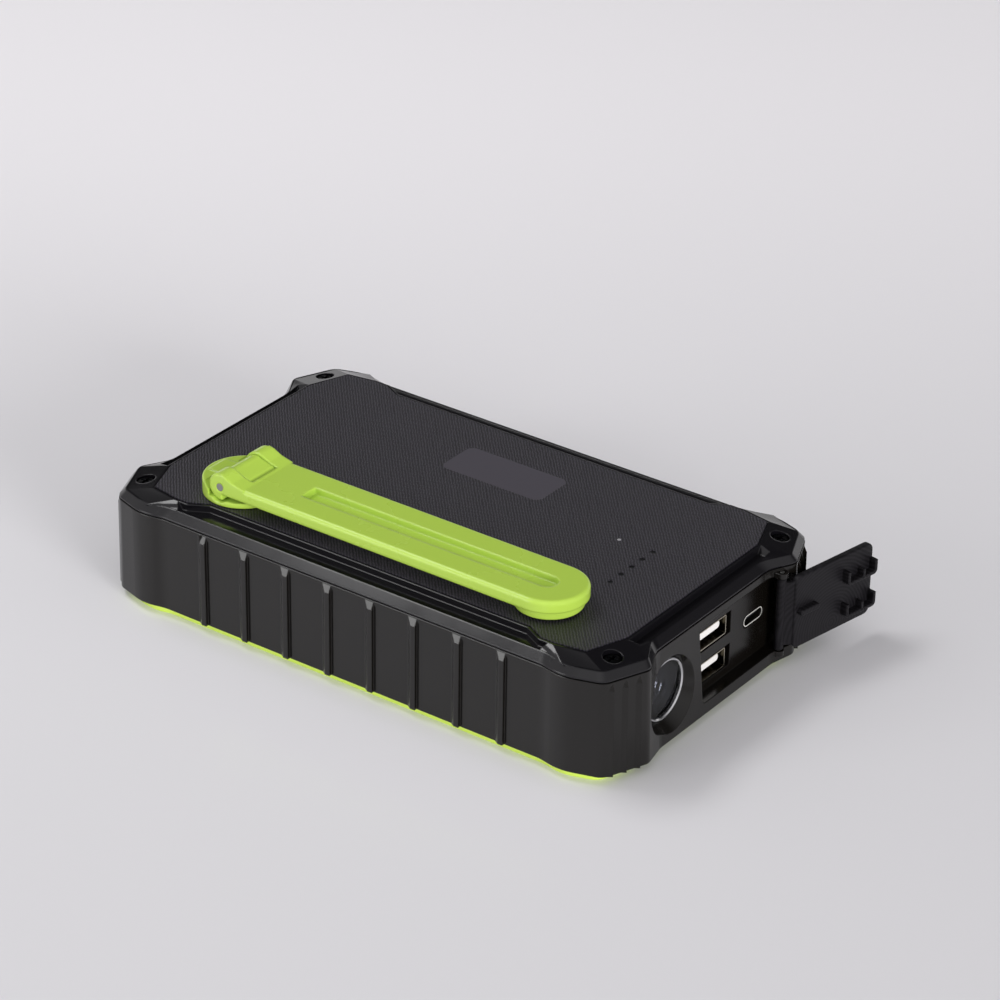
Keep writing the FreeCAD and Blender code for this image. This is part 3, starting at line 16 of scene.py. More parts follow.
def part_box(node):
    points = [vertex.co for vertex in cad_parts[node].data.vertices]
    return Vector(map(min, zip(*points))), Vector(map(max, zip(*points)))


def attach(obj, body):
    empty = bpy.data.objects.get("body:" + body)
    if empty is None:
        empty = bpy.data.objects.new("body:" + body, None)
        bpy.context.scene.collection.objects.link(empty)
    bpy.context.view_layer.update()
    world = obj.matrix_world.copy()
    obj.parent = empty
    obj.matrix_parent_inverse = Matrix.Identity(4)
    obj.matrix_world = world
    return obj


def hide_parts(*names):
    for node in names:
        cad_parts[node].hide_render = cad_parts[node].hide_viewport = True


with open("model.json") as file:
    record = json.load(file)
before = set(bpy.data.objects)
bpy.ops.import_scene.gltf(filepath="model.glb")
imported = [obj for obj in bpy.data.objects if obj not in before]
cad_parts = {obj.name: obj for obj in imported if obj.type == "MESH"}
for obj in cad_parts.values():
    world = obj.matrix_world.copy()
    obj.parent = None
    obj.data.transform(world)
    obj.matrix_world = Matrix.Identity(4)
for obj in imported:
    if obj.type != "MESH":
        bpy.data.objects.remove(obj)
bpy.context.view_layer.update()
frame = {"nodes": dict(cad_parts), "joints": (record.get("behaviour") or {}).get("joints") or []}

bl_info = {
    "name": "Hand Crank Charger Looks",
    "version": (1, 0, 0),
    "blender": (4, 5, 0),
    "location": "3D View > Sidebar > Charger",
    "description": "Finishes and fine pieces of a rugged hand crank phone charger",
    "category": "Object",
}

MM = 0.001
WAVE_SCALE = 0.314        # scale at which a wave texture repeats once in a metre
CREASE = math.radians(35)  # an edge that turns by more than this stays sharp
OPEN = False              # a surface whose first and last rows are its poles or its ends
TUBE = True               # a surface whose last row joins its first
INWARD = ((0, -1, 0), (0, 0, 1), (-1, 0, 0))     # axes of a piece built from a wall at the sockets' end inwards
OUTWARD = ((0, 1, 0), (0, 0, -1), (-1, 0, 0))    # axes of a piece built from the hidden end outwards


# ---------------------------------------------------------------- colours and properties


def tint(code):
    """Linear RGB of an sRGB hex colour: each channel is divided by 12.92 when dark, and else raised to 2.4."""
    parts = np.array([int(code[i:i + 2], 16) / 255 for i in (0, 2, 4)])
    return tuple(np.where(parts <= 0.04045, parts / 12.92, ((parts + 0.055) / 1.055) ** 2.4))


def size(name, description, millimetres):
    return FloatProperty(name=name, description=description, default=millimetres * MM,
                         min=0.0, unit="LENGTH", precision=5)


def colour(name, description, code):
    return FloatVectorProperty(name=name, description=description, default=tint(code),
                               size=3, min=0.0, max=1.0, subtype="COLOR")


def amount(name, description, value, least=0.0):
    return FloatProperty(name=name, description=description, default=value, min=least)


def width(name, description, metres):
    return FloatProperty(name=name, description=description, default=metres, min=0.05, unit="LENGTH")


def angle(name, description, degrees):
    return FloatProperty(name=name, description=description, default=math.radians(degrees), subtype="ANGLE")


def vector(name, description, values, subtype):
    return FloatVectorProperty(name=name, description=description, default=values, size=3, subtype=subtype)


class ChargerSizes(bpy.types.PropertyGroup):
    """Sizes of the patterns and of the fine pieces"""
    edge_round: size("Edge round", "Radius that softens every moulded edge of the case", 0.4)
    crank_round: size("Crank edge round", "Radius that softens the edges of the crank and its arm", 0.9)
    twill_pitch: size("Twill pitch", "Distance between two threads of the plate's moulded twill", 0.78)
    patch_x: size("Patch half length", "Half length of the smooth patch in the textured plate", 16.5)
    patch_y: size("Patch half width", "Half width of the smooth patch in the textured plate", 7.2)
    patch_round: size("Patch corner", "Radius of the smooth patch's corners", 2.4)
    spark_grain: size("Spark grain", "Grain of the spark-eroded mould surface on the case", 0.35)
    contact_width: size("Contact width", "Width of a gold contact on a socket's tongue", 1.0)
    contact_long: size("Contact length", "Length of a gold contact on a socket's tongue", 8.0)
    screw_slot: size("Cross slot", "Width of the cross slot in a screw's head", 0.6)
    reflector_ridge: size("Reflector ridge", "Depth of the rings in the torch's reflector", 0.3)
    flap_edge: size("Flap edge", "Radius of the rubber flap's rounded edges", 0.5)
    flap_lines: size("Flap flow lines", "Distance between the fine arcs in the flap's face", 1.0)
    cell_pitch: size("Solar cell pitch", "Distance between two strips of the solar panel", 15.6)


class ChargerColours(bpy.types.PropertyGroup):
    """Colours of the main finishes"""
    case_black: colour("Case", "Black ABS of the case", "0c0a08")
    lid_black: colour("Lid", "Glossier black ABS of the lid", "0d0c0f")
    plate_grey: colour("Plate", "Dark grey ABS of the textured plate", "211f25")
    patch_grey: colour("Patch", "Smooth patch in the textured plate", "434047")
    lime: colour("Lime", "Lime ABS of the crank", "a7c54c")
    base_lime: colour("Base lime", "Paler lime ABS of the base", "cee75f")
    rubber_black: colour("Rubber", "Black rubber of the flap and the seal", "0c0b0d")
    # Paler floor colour towards the back: painted light.
    far_floor_painted_light: colour("Far floor", "Coated board towards the back", "f1eff2")
    floor: colour("Floor", "Pale coated board that the charger stands on", "dfdee1")


class ChargerStage(bpy.types.PropertyGroup):
    """Camera and light"""
    focal: amount("Focal length", "Camera lens in millimetres", 138.6, 1.0)
    camera_turn: angle("Camera turn", "Direction of the camera around Z", 35.742)
    camera_rise: angle("Camera rise", "Angle of the camera above the floor", 28.635)
    camera_roll: angle("Camera roll", "Turn of the camera about its own axis", 0.885)
    camera_place: vector("Camera place", "Where the camera stands", (0.5345, -0.7242, 0.5270), "TRANSLATION")
    sky_low: amount("Dim sky", "Strength of the sky behind the charger", 0.05)
    sky_high: amount("Bright sky", "Strength of the sky on the side of the key light", 0.82)
    key_side: vector("Key side", "Direction of the sky's brightest part", (-0.45, -0.68, 0.50), "DIRECTION")
    sky_edge: amount("Sky edge", "Cosine from the key side at which the sky starts to brighten", 0.15, -1.0)
    fill: amount("Fill sky", "Strength of the broad fill from the sockets' side", 0.6)
    fill_side: vector("Fill side", "Direction of the middle of the fill", (0.80, -0.25, 0.55), "DIRECTION")
    fill_edge: amount("Fill edge", "Cosine from the fill side at which the fill starts", 0.3, -1.0)
    backdrop: amount("Backdrop", "Strength of the low band of sky behind the charger", 0.8)
    backdrop_top: amount("Backdrop height", "Sine of the angle at which the low band ends", 0.30)
    backdrop_even: amount("Backdrop even height", "Sine of the angle up to which the low band is even", 0.18)
    backdrop_side: vector("Backdrop side", "Direction of the middle of the low band", (-0.585, 0.811, 0.0),
                          "DIRECTION")
    backdrop_ends: amount("Backdrop ends", "Cosine from the backdrop side at which the low band ends", 0.2, -1.0)
    backdrop_full: amount("Backdrop middle", "Cosine from the backdrop side up to which it is full", 0.7, -1.0)
    softbox_wide: width("Softbox width", "Width of the overhead softbox", 0.6)
    softbox_deep: width("Softbox depth", "Depth of the overhead softbox", 0.3)
    top_glow: amount("Top softbox", "Brightness of the overhead softbox's face", 7.0)
    top_place: vector("Top softbox place", "Where the overhead softbox hangs", (-0.58, -0.11, 1.0), "TRANSLATION")
    front_light: amount("Front light", "Strength of the low light from the front", 0.7)
    front_place: vector("Front light side", "Where it comes from", (-0.61, -1.0, 0.25), "TRANSLATION")
    side_light: amount("Side light", "Strength of the low light on the sockets", 3.3)
    side_place: vector("Side light side", "Where it comes from", (1.0, -0.35, 0.15), "TRANSLATION")
    low_spread: angle("Low light spread", "Angle that each low light fills", 25.0)
    segments: IntProperty(name="Segments", description="Points round a turned piece", default=64, min=12, max=256)


# ---------------------------------------------------------------- surfaces


def grid_quads(rows, columns, tube, first):
    """Corner numbers of a grid's quads. Each row closes on itself; in a tube the last row joins the first."""
    r, c = np.meshgrid(np.arange(rows if tube else rows - 1), np.arange(columns), indexing="ij")
    r2 = (r + 1) % rows
    c2 = (c + 1) % columns
    quads = np.stack([r * columns + c, r * columns + c2, r2 * columns + c2, r2 * columns + c], axis=-1)
    return quads.reshape(-1, 4) + first


def make_piece(name, surfaces, material, body, replaced=()):
    """One mesh from several (points, OPEN or TUBE) grids, with its poles closed and its faces outwards."""
    points = []
    quads = []
    count = 0
    for grid, tube in surfaces:
        rows, columns = grid.shape[:2]
        quads.append(grid_quads(rows, columns, tube, count))
        points.append(grid.reshape(-1, 3))
        count += rows * columns
    mesh = bpy.data.meshes.new(name)
    mesh.from_pydata(np.concatenate(points).tolist(), [], np.concatenate(quads).tolist())
    edit = bmesh.new()
    edit.from_mesh(mesh)
    bmesh.ops.remove_doubles(edit, verts=edit.verts, dist=1e-7)
    bmesh.ops.recalc_face_normals(edit, faces=edit.faces)
    edit.to_mesh(mesh)
    edit.free()
    mesh.polygons.foreach_set("use_smooth", np.ones(len(mesh.polygons), dtype=bool))
    mesh.set_sharp_from_angle(angle=CREASE)
    mesh.materials.append(material)
    piece = bpy.data.objects.new(name, mesh)
    bpy.context.scene.collection.objects.link(piece)
    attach(piece, body)
    if replaced:
        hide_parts(*replaced)
    return piece


def middle(low, high):
    """The middle of a box, as an array."""
    return (np.array(low) + np.array(high)) / 2


def turned(profile, centre, axis, across, segments):
    """A profile of (along, radius) pairs carried round an axis: centre + along*axis + radius*(cos a, sin a)."""
    axis = np.array(axis, float)
    across = np.array(across, float)
    third = np.cross(axis, across)
    angle = np.linspace(0, 2 * math.pi, segments, endpoint=False)
    ray = np.cos(angle)[:, None] * across + np.sin(angle)[:, None] * third
    along, radius = np.array(profile, float).T
    return np.array(centre) + along[:, None, None] * axis + radius[:, None, None] * ray


def rounded_outline(half_w, half_h, radius, steps=8):
    """Corner arcs of a rectangle in turn: each arc's centre plus radius*(cos a, sin a) over a quarter turn."""
    quarter = np.linspace(0, math.pi / 2, steps)
    angle = np.concatenate([quarter + k * math.pi / 2 for k in range(4)])
    sign_x = np.repeat([1, -1, -1, 1], steps)
    sign_y = np.repeat([1, 1, -1, -1], steps)
    x = sign_x * (half_w - radius) + radius * np.cos(angle)
    y = sign_y * (half_h - radius) + radius * np.sin(angle)
    return np.stack([x, y], axis=-1)


def pillow(half_w, half_h, low, high, corner, edge, steps=6):
    """A closed rounded slab as (x, y, height) rows: from its lower middle out, round two edge arcs, to its upper
    middle. On an edge arc the outline is inset by edge*(1 - sin b) while the height follows edge*(1 - cos b)."""
    arc = np.linspace(0, math.pi / 2, steps)
    shares = (0.0, 0.35, 0.7, 0.9)
    sharpest = 0.02 * MM
    rows = [(share, edge, low) for share in shares]
    rows += [(1.0, edge * (1 - math.sin(b)), low + edge * (1 - math.cos(b))) for b in arc]
    rows += [(1.0, edge * (1 - math.sin(b)), high - edge * (1 - math.cos(b))) for b in arc[::-1]]
    rows += [(share, edge, high) for share in shares[::-1]]
    grid = []
    for share, inset, height in rows:
        flat = rounded_outline(half_w - inset, half_h - inset, max(corner - inset, sharpest)) * share
        grid.append(np.column_stack([flat, np.full(len(flat), height)]))
    return np.array(grid)


def placed(grid, centre, x_axis, y_axis, z_axis):
    """A grid in its own axes set into the part: centre + x*X + y*Y + z*Z."""
    basis = np.array([x_axis, y_axis, z_axis], float)
    return np.array(centre, float) + grid @ basis


def corner_path(corners, steps=6):
    """A closed path whose corners (x, y, radius) are arcs. Each arc's centre is on its corner's bisector, at
    radius / sin(half angle), and its rays turn evenly from one edge's foot to the other's."""
    place = corners[:, :2]
    radius = corners[:, 2:]
    back = np.roll(place, 1, axis=0) - place
    ahead = np.roll(place, -1, axis=0) - place
    back /= np.linalg.norm(back, axis=1, keepdims=True)
    ahead /= np.linalg.norm(ahead, axis=1, keepdims=True)
    half = np.arccos((back * ahead).sum(axis=1, keepdims=True)) / 2
    bisector = back + ahead
    bisector /= np.linalg.norm(bisector, axis=1, keepdims=True)
    centre = place + bisector * radius / np.sin(half)
    first = place + back * radius / np.tan(half) - centre
    last = place + ahead * radius / np.tan(half) - centre
    share = np.linspace(0, 1, steps)[None, :, None]
    opening = (math.pi - 2 * half)[:, None]
    ray = np.sin((1 - share) * opening) * first[:, None] + np.sin(share * opening) * last[:, None]
    return (centre[:, None] + ray / np.sin(opening)).reshape(-1, 2)


def swept(path, section, lift, closed):
    """A section of (out, up) pairs carried along a path: point + out*N + up*lift, N being lift crossed with the
    path's run. An open path ends in rows that shrink to the section's middle."""
    run = np.roll(path, -1, axis=0) - np.roll(path, 1, axis=0) if closed else np.gradient(path, axis=0)
    normal = np.cross(run, lift)
    normal /= np.linalg.norm(normal, axis=1, keepdims=True)
    grid = path[:, None] + section[:, :1] * normal[:, None] + section[:, 1:] * np.array(lift, float)
    if closed:
        return grid
    middles = grid[[0, -1]].mean(axis=1, keepdims=True)
    poles = np.repeat(middles, len(section), axis=1)
    return np.concatenate([poles[:1], grid, poles[1:]])


def swung(grid, pivot, angle):
    """A grid turned about the upright axis through a point."""
    c = math.cos(angle)
    s = math.sin(angle)
    turn = np.array([[c, -s, 0], [s, c, 0], [0, 0, 1]])
    return (grid - pivot) @ turn.T + pivot


# ---------------------------------------------------------------- nodes


def add(tree, kind, inputs=None, **settings):
    """Add a node. settings are its own properties; inputs maps a socket's name or number to a value or a link."""
    made = tree.nodes.new(kind)
    for name, value in settings.items():
        setattr(made, name, value)
    for socket, value in (inputs or {}).items():
        if isinstance(value, bpy.types.NodeSocket):
            tree.links.new(value, made.inputs[socket])
        else:
            made.inputs[socket].default_value = value
    return made


def blank(name):
    """An empty material, its tree, and where each point lies on its object."""
    material = bpy.data.materials.new(name)
    material.use_nodes = True
    tree = material.node_tree
    tree.nodes.clear()
    return material, tree, add(tree, "ShaderNodeTexCoord").outputs["Object"]


def finish(material, shader_inputs):
    """End a material with its shader and its output."""
    tree = material.node_tree
    shader = add(tree, "ShaderNodeBsdfPrincipled", shader_inputs)
    add(tree, "ShaderNodeOutputMaterial", {"Surface": shader.outputs["BSDF"]})
    return material


def noise(tree, where, pitch, detail, rough=0.5):
    """Noise whose features are about one pitch across."""
    return add(tree, "ShaderNodeTexNoise", {"Vector": where, "Scale": 1.0 / pitch, "Detail": detail,
                                            "Roughness": rough}).outputs["Fac"]


def waves(tree, where, pitch, kind, axis, distortion=0.0, detail=2.0, detail_scale=1.0):
    """Sine ridges one pitch apart: BANDS across an axis or RINGS about it."""
    return add(tree, "ShaderNodeTexWave",
               {"Vector": where, "Scale": WAVE_SCALE / pitch, "Distortion": distortion, "Detail": detail,
                "Detail Scale": detail_scale},
               wave_type=kind, wave_profile="SIN", **{kind.lower() + "_direction": axis}).outputs["Fac"]


def remapped(tree, value, low, high, to_low=0.0, to_high=1.0, curve="LINEAR"):
    """A value carried from one range to another and held at its ends."""
    return add(tree, "ShaderNodeMapRange", {"Value": value, "From Min": low, "From Max": high, "To Min": to_low,
                                            "To Max": to_high}, interpolation_type=curve).outputs["Result"]


def mixed(tree, factor, first, second, blend="MIX"):
    """A mix of two colours."""
    return add(tree, "ShaderNodeMix", {"Factor": factor, 6: first, 7: second}, data_type="RGBA",
               blend_type=blend).outputs[2]


def value_math(tree, operation, first, second):
    return add(tree, "ShaderNodeMath", {0: first, 1: second}, operation=operation).outputs["Value"]


def vector_math(tree, operation, first, second=(0.0, 0.0, 0.0)):
    """An operation on vectors. A dot product and a length give a value, and the others a vector."""
    made = add(tree, "ShaderNodeVectorMath", {0: first, 1: second}, operation=operation)
    return made.outputs["Value" if operation in ("DOT_PRODUCT", "LENGTH") else "Vector"]


def softened(tree, edge):
    """The normal of the surface with its edges rounded off."""
    return add(tree, "ShaderNodeBevel", {"Radius": edge}, samples=6).outputs["Normal"]


def bumped(tree, height, strength, depth, normal=None):
    """The normal of the surface, or the one given, after a bump."""
    inputs = {"Height": height, "Strength": strength, "Distance": depth}
    if normal is not None:
        inputs["Normal"] = normal
    return add(tree, "ShaderNodeBump", inputs).outputs["Normal"]


def scaled(rgb, factor=1.0):
    """A colour times a factor, with its alpha."""
    return tuple(min(channel * factor, 1.0) for channel in rgb[:3]) + (1.0,)


# ---------------------------------------------------------------- plastics and rubber


def moulded_plastic(name, rgb, grain, edge, rough, bump=0.12, edge_wear_and_highlight=1.25):
    """Injection-moulded plastic from a spark-eroded tool: an even satin skin whose grain breaks up the gloss,
    with edges a little lighter and smoother: partly handling wear, partly a painted highlight along the edges."""
    material, tree, where = blank(name)
    soft = softened(tree, edge)
    flat = add(tree, "ShaderNodeNewGeometry").outputs["Normal"]
    facing = vector_math(tree, "DOT_PRODUCT", soft, flat)
    # Edges take a lighter colour, up to the given edge factor: partly handling wear, partly a painted highlight
    # along every edge.
    rubbed_and_highlit_edge = remapped(tree, facing, 0.99, 0.80)
    spark = noise(tree, where, grain, 2.0, 0.6)
    handled = noise(tree, where, 22 * MM, 4.0, 0.55)
    worn_and_highlit = value_math(tree, "MULTIPLY", rubbed_and_highlit_edge, handled)
    base = mixed(tree, worn_and_highlit, scaled(rgb), scaled(rgb, edge_wear_and_highlight))
    gloss = remapped(tree, handled, 0.3, 0.7, rough - 0.03, rough + 0.05)
    skin = bumped(tree, spark, bump, 0.02 * MM, soft)
    return finish(material, {"Base Color": base, "Roughness": gloss, "Normal": skin, "IOR": 1.46})


def twill_moulded_abs(name, rgb, patch_rgb, pitch, patch, patch_round, centre):
    """ABS moulded against an engraved twill: two crossed sets of fine diagonal ridges with a flat bare patch. The
    patch's edge is where |max(|p - centre| - inner, 0)| equals its corner radius."""
    material, tree, where = blank(name)
    threads = []
    for turn in (-41.0, 45.0):      # degrees from X to each set's own direction
        laid = add(tree, "ShaderNodeMapping", {"Vector": where, "Rotation": (0, 0, math.radians(turn))})
        threads.append(waves(tree, laid.outputs["Vector"], pitch, "BANDS", "X", 3.4, 2.0, 1.6))
    shallow = remapped(tree, threads[1], 0.0, 1.0, 0.45, 1.0)
    weave = value_math(tree, "MULTIPLY", threads[0], shallow)
    away = vector_math(tree, "SUBTRACT", where, centre)
    away = vector_math(tree, "ABSOLUTE", away)
    inner = (patch[0] - patch_round, patch[1] - patch_round, 0.0)
    past = vector_math(tree, "SUBTRACT", away, inner)
    past = vector_math(tree, "MULTIPLY", past, (1.0, 1.0, 0.0))
    past = vector_math(tree, "MAXIMUM", past)
    reach = vector_math(tree, "LENGTH", past)
    outside = value_math(tree, "SUBTRACT", reach, patch_round)
    bare = remapped(tree, outside, 0.05 * MM, -0.15 * MM)
    relief = add(tree, "ShaderNodeMix", {"Factor": bare, 2: weave, 3: 0.25}, data_type="FLOAT").outputs[0]
    # The threads' colour follows their relief, dark in the grooves and light on the ridges: painted shade and
    # highlight.
    thread = mixed(tree, relief, scaled(rgb, 0.2), scaled(rgb, 2.8))
    base = mixed(tree, bare, thread, scaled(patch_rgb))
    gloss = remapped(tree, bare, 0.0, 1.0, 0.46, 0.36)
    skin = bumped(tree, relief, 0.8, 0.16 * MM)
    return finish(material, {"Base Color": base, "Roughness": gloss, "Normal": skin, "IOR": 1.44})


def moulded_rubber(name, rgb, edge, pitch, centre=(0.0, 0.0, 0.0)):
    """Compression-moulded rubber: matt, with fine flow arcs from the tool around a point and a dusty bloom."""
    material, tree, where = blank(name)
    soft = softened(tree, edge)
    away = vector_math(tree, "SUBTRACT", where, centre)
    arcs = waves(tree, away, pitch, "RINGS", "X", 5.0, 1.0, 0.35)
    bloom = noise(tree, where, 6 * MM, 5.0)
    dusty = mixed(tree, bloom, scaled(rgb, 0.75), scaled(rgb, 1.6))
    base = mixed(tree, arcs, dusty, scaled(rgb, 2.6))
    skin = bumped(tree, arcs, 0.35, 0.05 * MM, soft)
    return finish(material, {"Base Color": base, "Roughness": 0.5, "Normal": skin, "IOR": 1.5,
                             "Specular IOR Level": 0.2})


def clear_plastic(name, rgb, rough):
    """Polished clear plastic, tinted through its thickness, with faint moulding ripples."""
    material, tree, where = blank(name)
    ripple = noise(tree, where, 4 * MM, 1.0)
    skin = bumped(tree, ripple, 0.05, 0.05 * MM)
    return finish(material, {"Base Color": scaled(rgb), "Roughness": rough, "Normal": skin, "IOR": 1.30,
                             "Specular IOR Level": 0.2, "Transmission Weight": 1.0})


# ---------------------------------------------------------------- metals


def worked_metal(name, rgb, rough, pitch, stretch=(1, 1, 1), depth=0.15):
    """Bare or plated metal with the lines of its working: drawn, turned or rolled marks at the given pitch."""
    material, tree, where = blank(name)
    laid = add(tree, "ShaderNodeMapping", {"Vector": where, "Scale": stretch}).outputs["Vector"]
    marks = noise(tree, laid, pitch, 3.0)
    base = mixed(tree, marks, scaled(rgb, 0.85), scaled(rgb, 1.1))
    gloss = remapped(tree, marks, 0.3, 0.7, rough, rough + 0.12)
    soft = softened(tree, 0.12 * MM)
    skin = bumped(tree, marks, depth, 0.01 * MM, soft)
    return finish(material, {"Base Color": base, "Metallic": 1.0, "Roughness": gloss, "Normal": skin})


def folded_nickel(name, edge_rgb, shaded_inner_rgb, rough, metal=1.0):
    """Nickel-plated steel sheet, folded and sheared: a bright cut edge at the mouth, and painted shade that
    darkens the walls inside.
    """
    material, tree, where = blank(name)
    facing = add(tree, "ShaderNodeNewGeometry").outputs["Normal"]
    along = add(tree, "ShaderNodeSeparateXYZ", {"Vector": facing}).outputs["X"]
    mouth = remapped(tree, along, 0.6, 0.9)
    rolled = noise(tree, where, 0.4 * MM, 3.0)
    # The walls inside take a much darker colour than the mouth: painted shade inside the socket.
    wall = mixed(tree, rolled, scaled(shaded_inner_rgb, 0.8), scaled(shaded_inner_rgb, 1.25))
    base = mixed(tree, mouth, wall, scaled(edge_rgb))
    skin = bumped(tree, rolled, 0.1, 0.01 * MM)
    return finish(material, {"Base Color": base, "Metallic": metal, "Roughness": rough, "Normal": skin})


def wound_copper(name):
    """Enamelled copper windings: round wires side by side, glossy under their varnish."""
    material, tree, where = blank(name)
    wires = waves(tree, where, 0.5 * MM, "BANDS", "Z")
    base = mixed(tree, wires, scaled(tint("4a1f0c")), scaled(tint("b4592a")))
    skin = bumped(tree, wires, 0.8, 0.2 * MM)
    return finish(material, {"Base Color": base, "Metallic": 0.6, "Roughness": 0.3, "Normal": skin,
                             "Coat Weight": 0.5})


# ---------------------------------------------------------------- electronics


def circuit_board(name):
    """Glass-fibre board under green solder mask: tracks show as raised, slightly lighter lines."""
    material, tree, where = blank(name)
    tracks = add(tree, "ShaderNodeTexVoronoi", {"Vector": where, "Scale": 1.0 / (3.5 * MM), "Randomness": 0.35},
                 feature="DISTANCE_TO_EDGE", distance="EUCLIDEAN").outputs["Distance"]
    line = remapped(tree, tracks, 0.10, 0.06)
    base = mixed(tree, line, scaled(tint("0f3f22")), scaled(tint("2a6b3c")))
    skin = bumped(tree, line, 0.4, 0.05 * MM)
    return finish(material, {"Base Color": base, "Roughness": 0.3, "Normal": skin, "IOR": 1.5})


def solar_laminate(name, pitch):
    """Dark silicon strips under clear epoxy: fine silver fingers across them and a wider line between them."""
    material, tree, where = blank(name)
    axes = add(tree, "ShaderNodeSeparateXYZ", {"Vector": where})
    lines = []
    for axis, step, line_share in (("X", pitch, 0.035), ("Y", 2.2 * MM, 0.06)):
        share = value_math(tree, "DIVIDE", axes.outputs[axis], step)
        wrap = value_math(tree, "PINGPONG", share, 1.0)
        lines.append(value_math(tree, "LESS_THAN", wrap, line_share))
    silver = value_math(tree, "MAXIMUM", *lines)
    crystal = add(tree, "ShaderNodeTexVoronoi", {"Vector": where, "Scale": 1.0 / (5 * MM)}).outputs["Color"]
    cell = mixed(tree, 0.12, scaled(tint("121a33")), crystal, "SOFT_LIGHT")
    base = mixed(tree, silver, cell, scaled(tint("8d94a2")))
    return finish(material, {"Base Color": base, "Roughness": 0.32, "Coat Weight": 1.0, "Coat Roughness": 0.06,
                             "IOR": 1.5})


# ---------------------------------------------------------------- finishes by node


def paint(material, *names):
    """Give CAD nodes a finish."""
    for name in names:
        slots = frame["nodes"][name].data.materials
        slots.clear()
        slots.append(material)


def seal_corners():
    """Corners (x, y, radius) of the seal's centre line: five by one corner pad, mirrored to all four quarters."""
    pad = np.array([(62.2, 46.9, 12.0), (67.95, 48.4, 14.0), (77.8, 45.0, 4.0), (83.1, 33.05, 3.0),
                    (79.3, 25.15, 8.0)]) * MM
    back = pad[::-1]
    return np.concatenate([pad, back * (1, -1, 1), pad * (-1, -1, 1), back * (-1, 1, 1)])


class CHARGER_OT_case(bpy.types.Operator):
    """Make the seal, and finish the case, lid, base, plate and solar panel"""
    bl_idname = "charger.dress_case"
    bl_label = "Dress the case"

    def execute(self, context):
        sizes = context.scene.charger_sizes
        colours = context.scene.charger_colours
        grain = sizes.spark_grain
        edge = sizes.edge_round
        # The case and lid get strongly lightened edges: a painted highlight along their edges as well as wear.
        black = moulded_plastic("spark_eroded_black_abs", colours.case_black, grain, edge, rough=0.20, bump=0.05,
                                edge_wear_and_highlight=2.2)
        paint(black, "mid_case")
        gloss_black = moulded_plastic("polished_black_abs", colours.lid_black, grain, edge, rough=0.13, bump=0.03,
                                      edge_wear_and_highlight=2.2)
        paint(gloss_black, "top_cover")
        paint(moulded_plastic("satin_lime_abs_base", colours.base_lime, grain, edge, rough=0.36), "bottom_cover")
        low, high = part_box("top_inlay")
        patch_shift = (-0.5 * MM, 21 * MM)     # from the plate's middle to the smooth patch's
        twill = twill_moulded_abs("twill_moulded_abs", colours.plate_grey, colours.patch_grey, sizes.twill_pitch,
                                  (sizes.patch_x, sizes.patch_y), sizes.patch_round,
                                  (*(middle(low, high)[:2] + patch_shift), high.z))
        paint(twill, "top_inlay")
        silicone = moulded_rubber("black_seal_silicone", colours.rubber_black, edge=0.1 * MM, pitch=1.3 * MM)
        low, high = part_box("case_seal")
        flat = corner_path(seal_corners())
        path = np.column_stack([flat, np.full(len(flat), middle(low, high)[2])])
        bead = rounded_outline(half_w=0.6 * MM, half_h=(high.z - low.z) / 2, radius=0.4 * MM, steps=4)
        make_piece("case_seal_ring", [(swept(path, bead, (0, 0, 1), closed=True), TUBE)], silicone, "case",
                   ["case_seal"])
        paint(solar_laminate("epoxy_solar_laminate", sizes.cell_pitch), "solar_panel")
        return {"FINISHED"}


class CHARGER_OT_crank(bpy.types.Operator):
    """Give the crank's hub, arm, knob and pin their finishes"""
    bl_idname = "charger.dress_crank"
    bl_label = "Dress the crank"

    def execute(self, context):
        sizes = context.scene.charger_sizes
        colours = context.scene.charger_colours
        # The crank's lightened edges are a painted highlight along its edges as well as wear.
        lime = moulded_plastic("satin_lime_abs_crank", colours.lime, 0.5 * MM, sizes.crank_round, rough=0.25,
                               bump=0.03, edge_wear_and_highlight=1.35)
        paint(lime, "crank_hub", "crank_arm", "crank_knob")
        steel = worked_metal("turned_steel", tint("9a9a98"), rough=0.3, pitch=0.3 * MM, stretch=(1, 1, 6))
        paint(steel, "crank_hinge_pin", "crank_shaft", "retaining_clip", "idler_pins", "flap_hinge_pin")
        return {"FINISHED"}


def cross_slot(x, y, width, reach):
    """Depth share of a cross slot: one inside either arm, falling to zero over a fifth of its width."""
    near = np.minimum(np.abs(x), np.abs(y))
    far = np.maximum(np.abs(x), np.abs(y))
    across = np.clip((width / 2 - near) / (width / 5) + 0.5, 0, 1)
    along = np.clip((reach - far) / (width / 2), 0, 1)
    return across * along


def screw_surface(centre, turn, head_r, head_h, shank_r, length, slot_width):
    """A screw along Z, head up for a turn of 1 and down for -1. Its head's face is raised by
    crown*(1 - (r/head_r)^2) less the slot and half the crown."""
    face_r = 0.92 * head_r          # outside this the head slopes to its side
    rim_z = 0.78 * head_h
    tip = 0.5 * MM                  # length of the tapered point, and its end's radius
    tip_r = 0.55 * shank_r
    crown = 0.12 * head_r
    slot_reach = 0.7 * head_r
    slot_depth = min(0.62 * head_h, 0.9 * MM)
    profile = [(head_h, r) for r in np.linspace(0, face_r, 14)]
    profile += [(rim_z, head_r), (0.0, head_r), (0.0, shank_r), (-length + tip, shank_r), (-length, tip_r),
                (-length, 0.0)]
    grid = turned(profile, centre, (0, 0, turn), (1, 0, 0), segments=48)
    x, y, z = np.moveaxis(grid - np.array(centre), -1, 0)
    dome = crown * (1 - (np.hypot(x, y) / head_r) ** 2)
    lift = dome - cross_slot(x, y, slot_width, slot_reach) * slot_depth
    on_face = z * turn > 0.9 * head_h
    grid[..., 2] += np.where(on_face, lift * turn - crown * turn * 0.5, 0.0)
    return grid


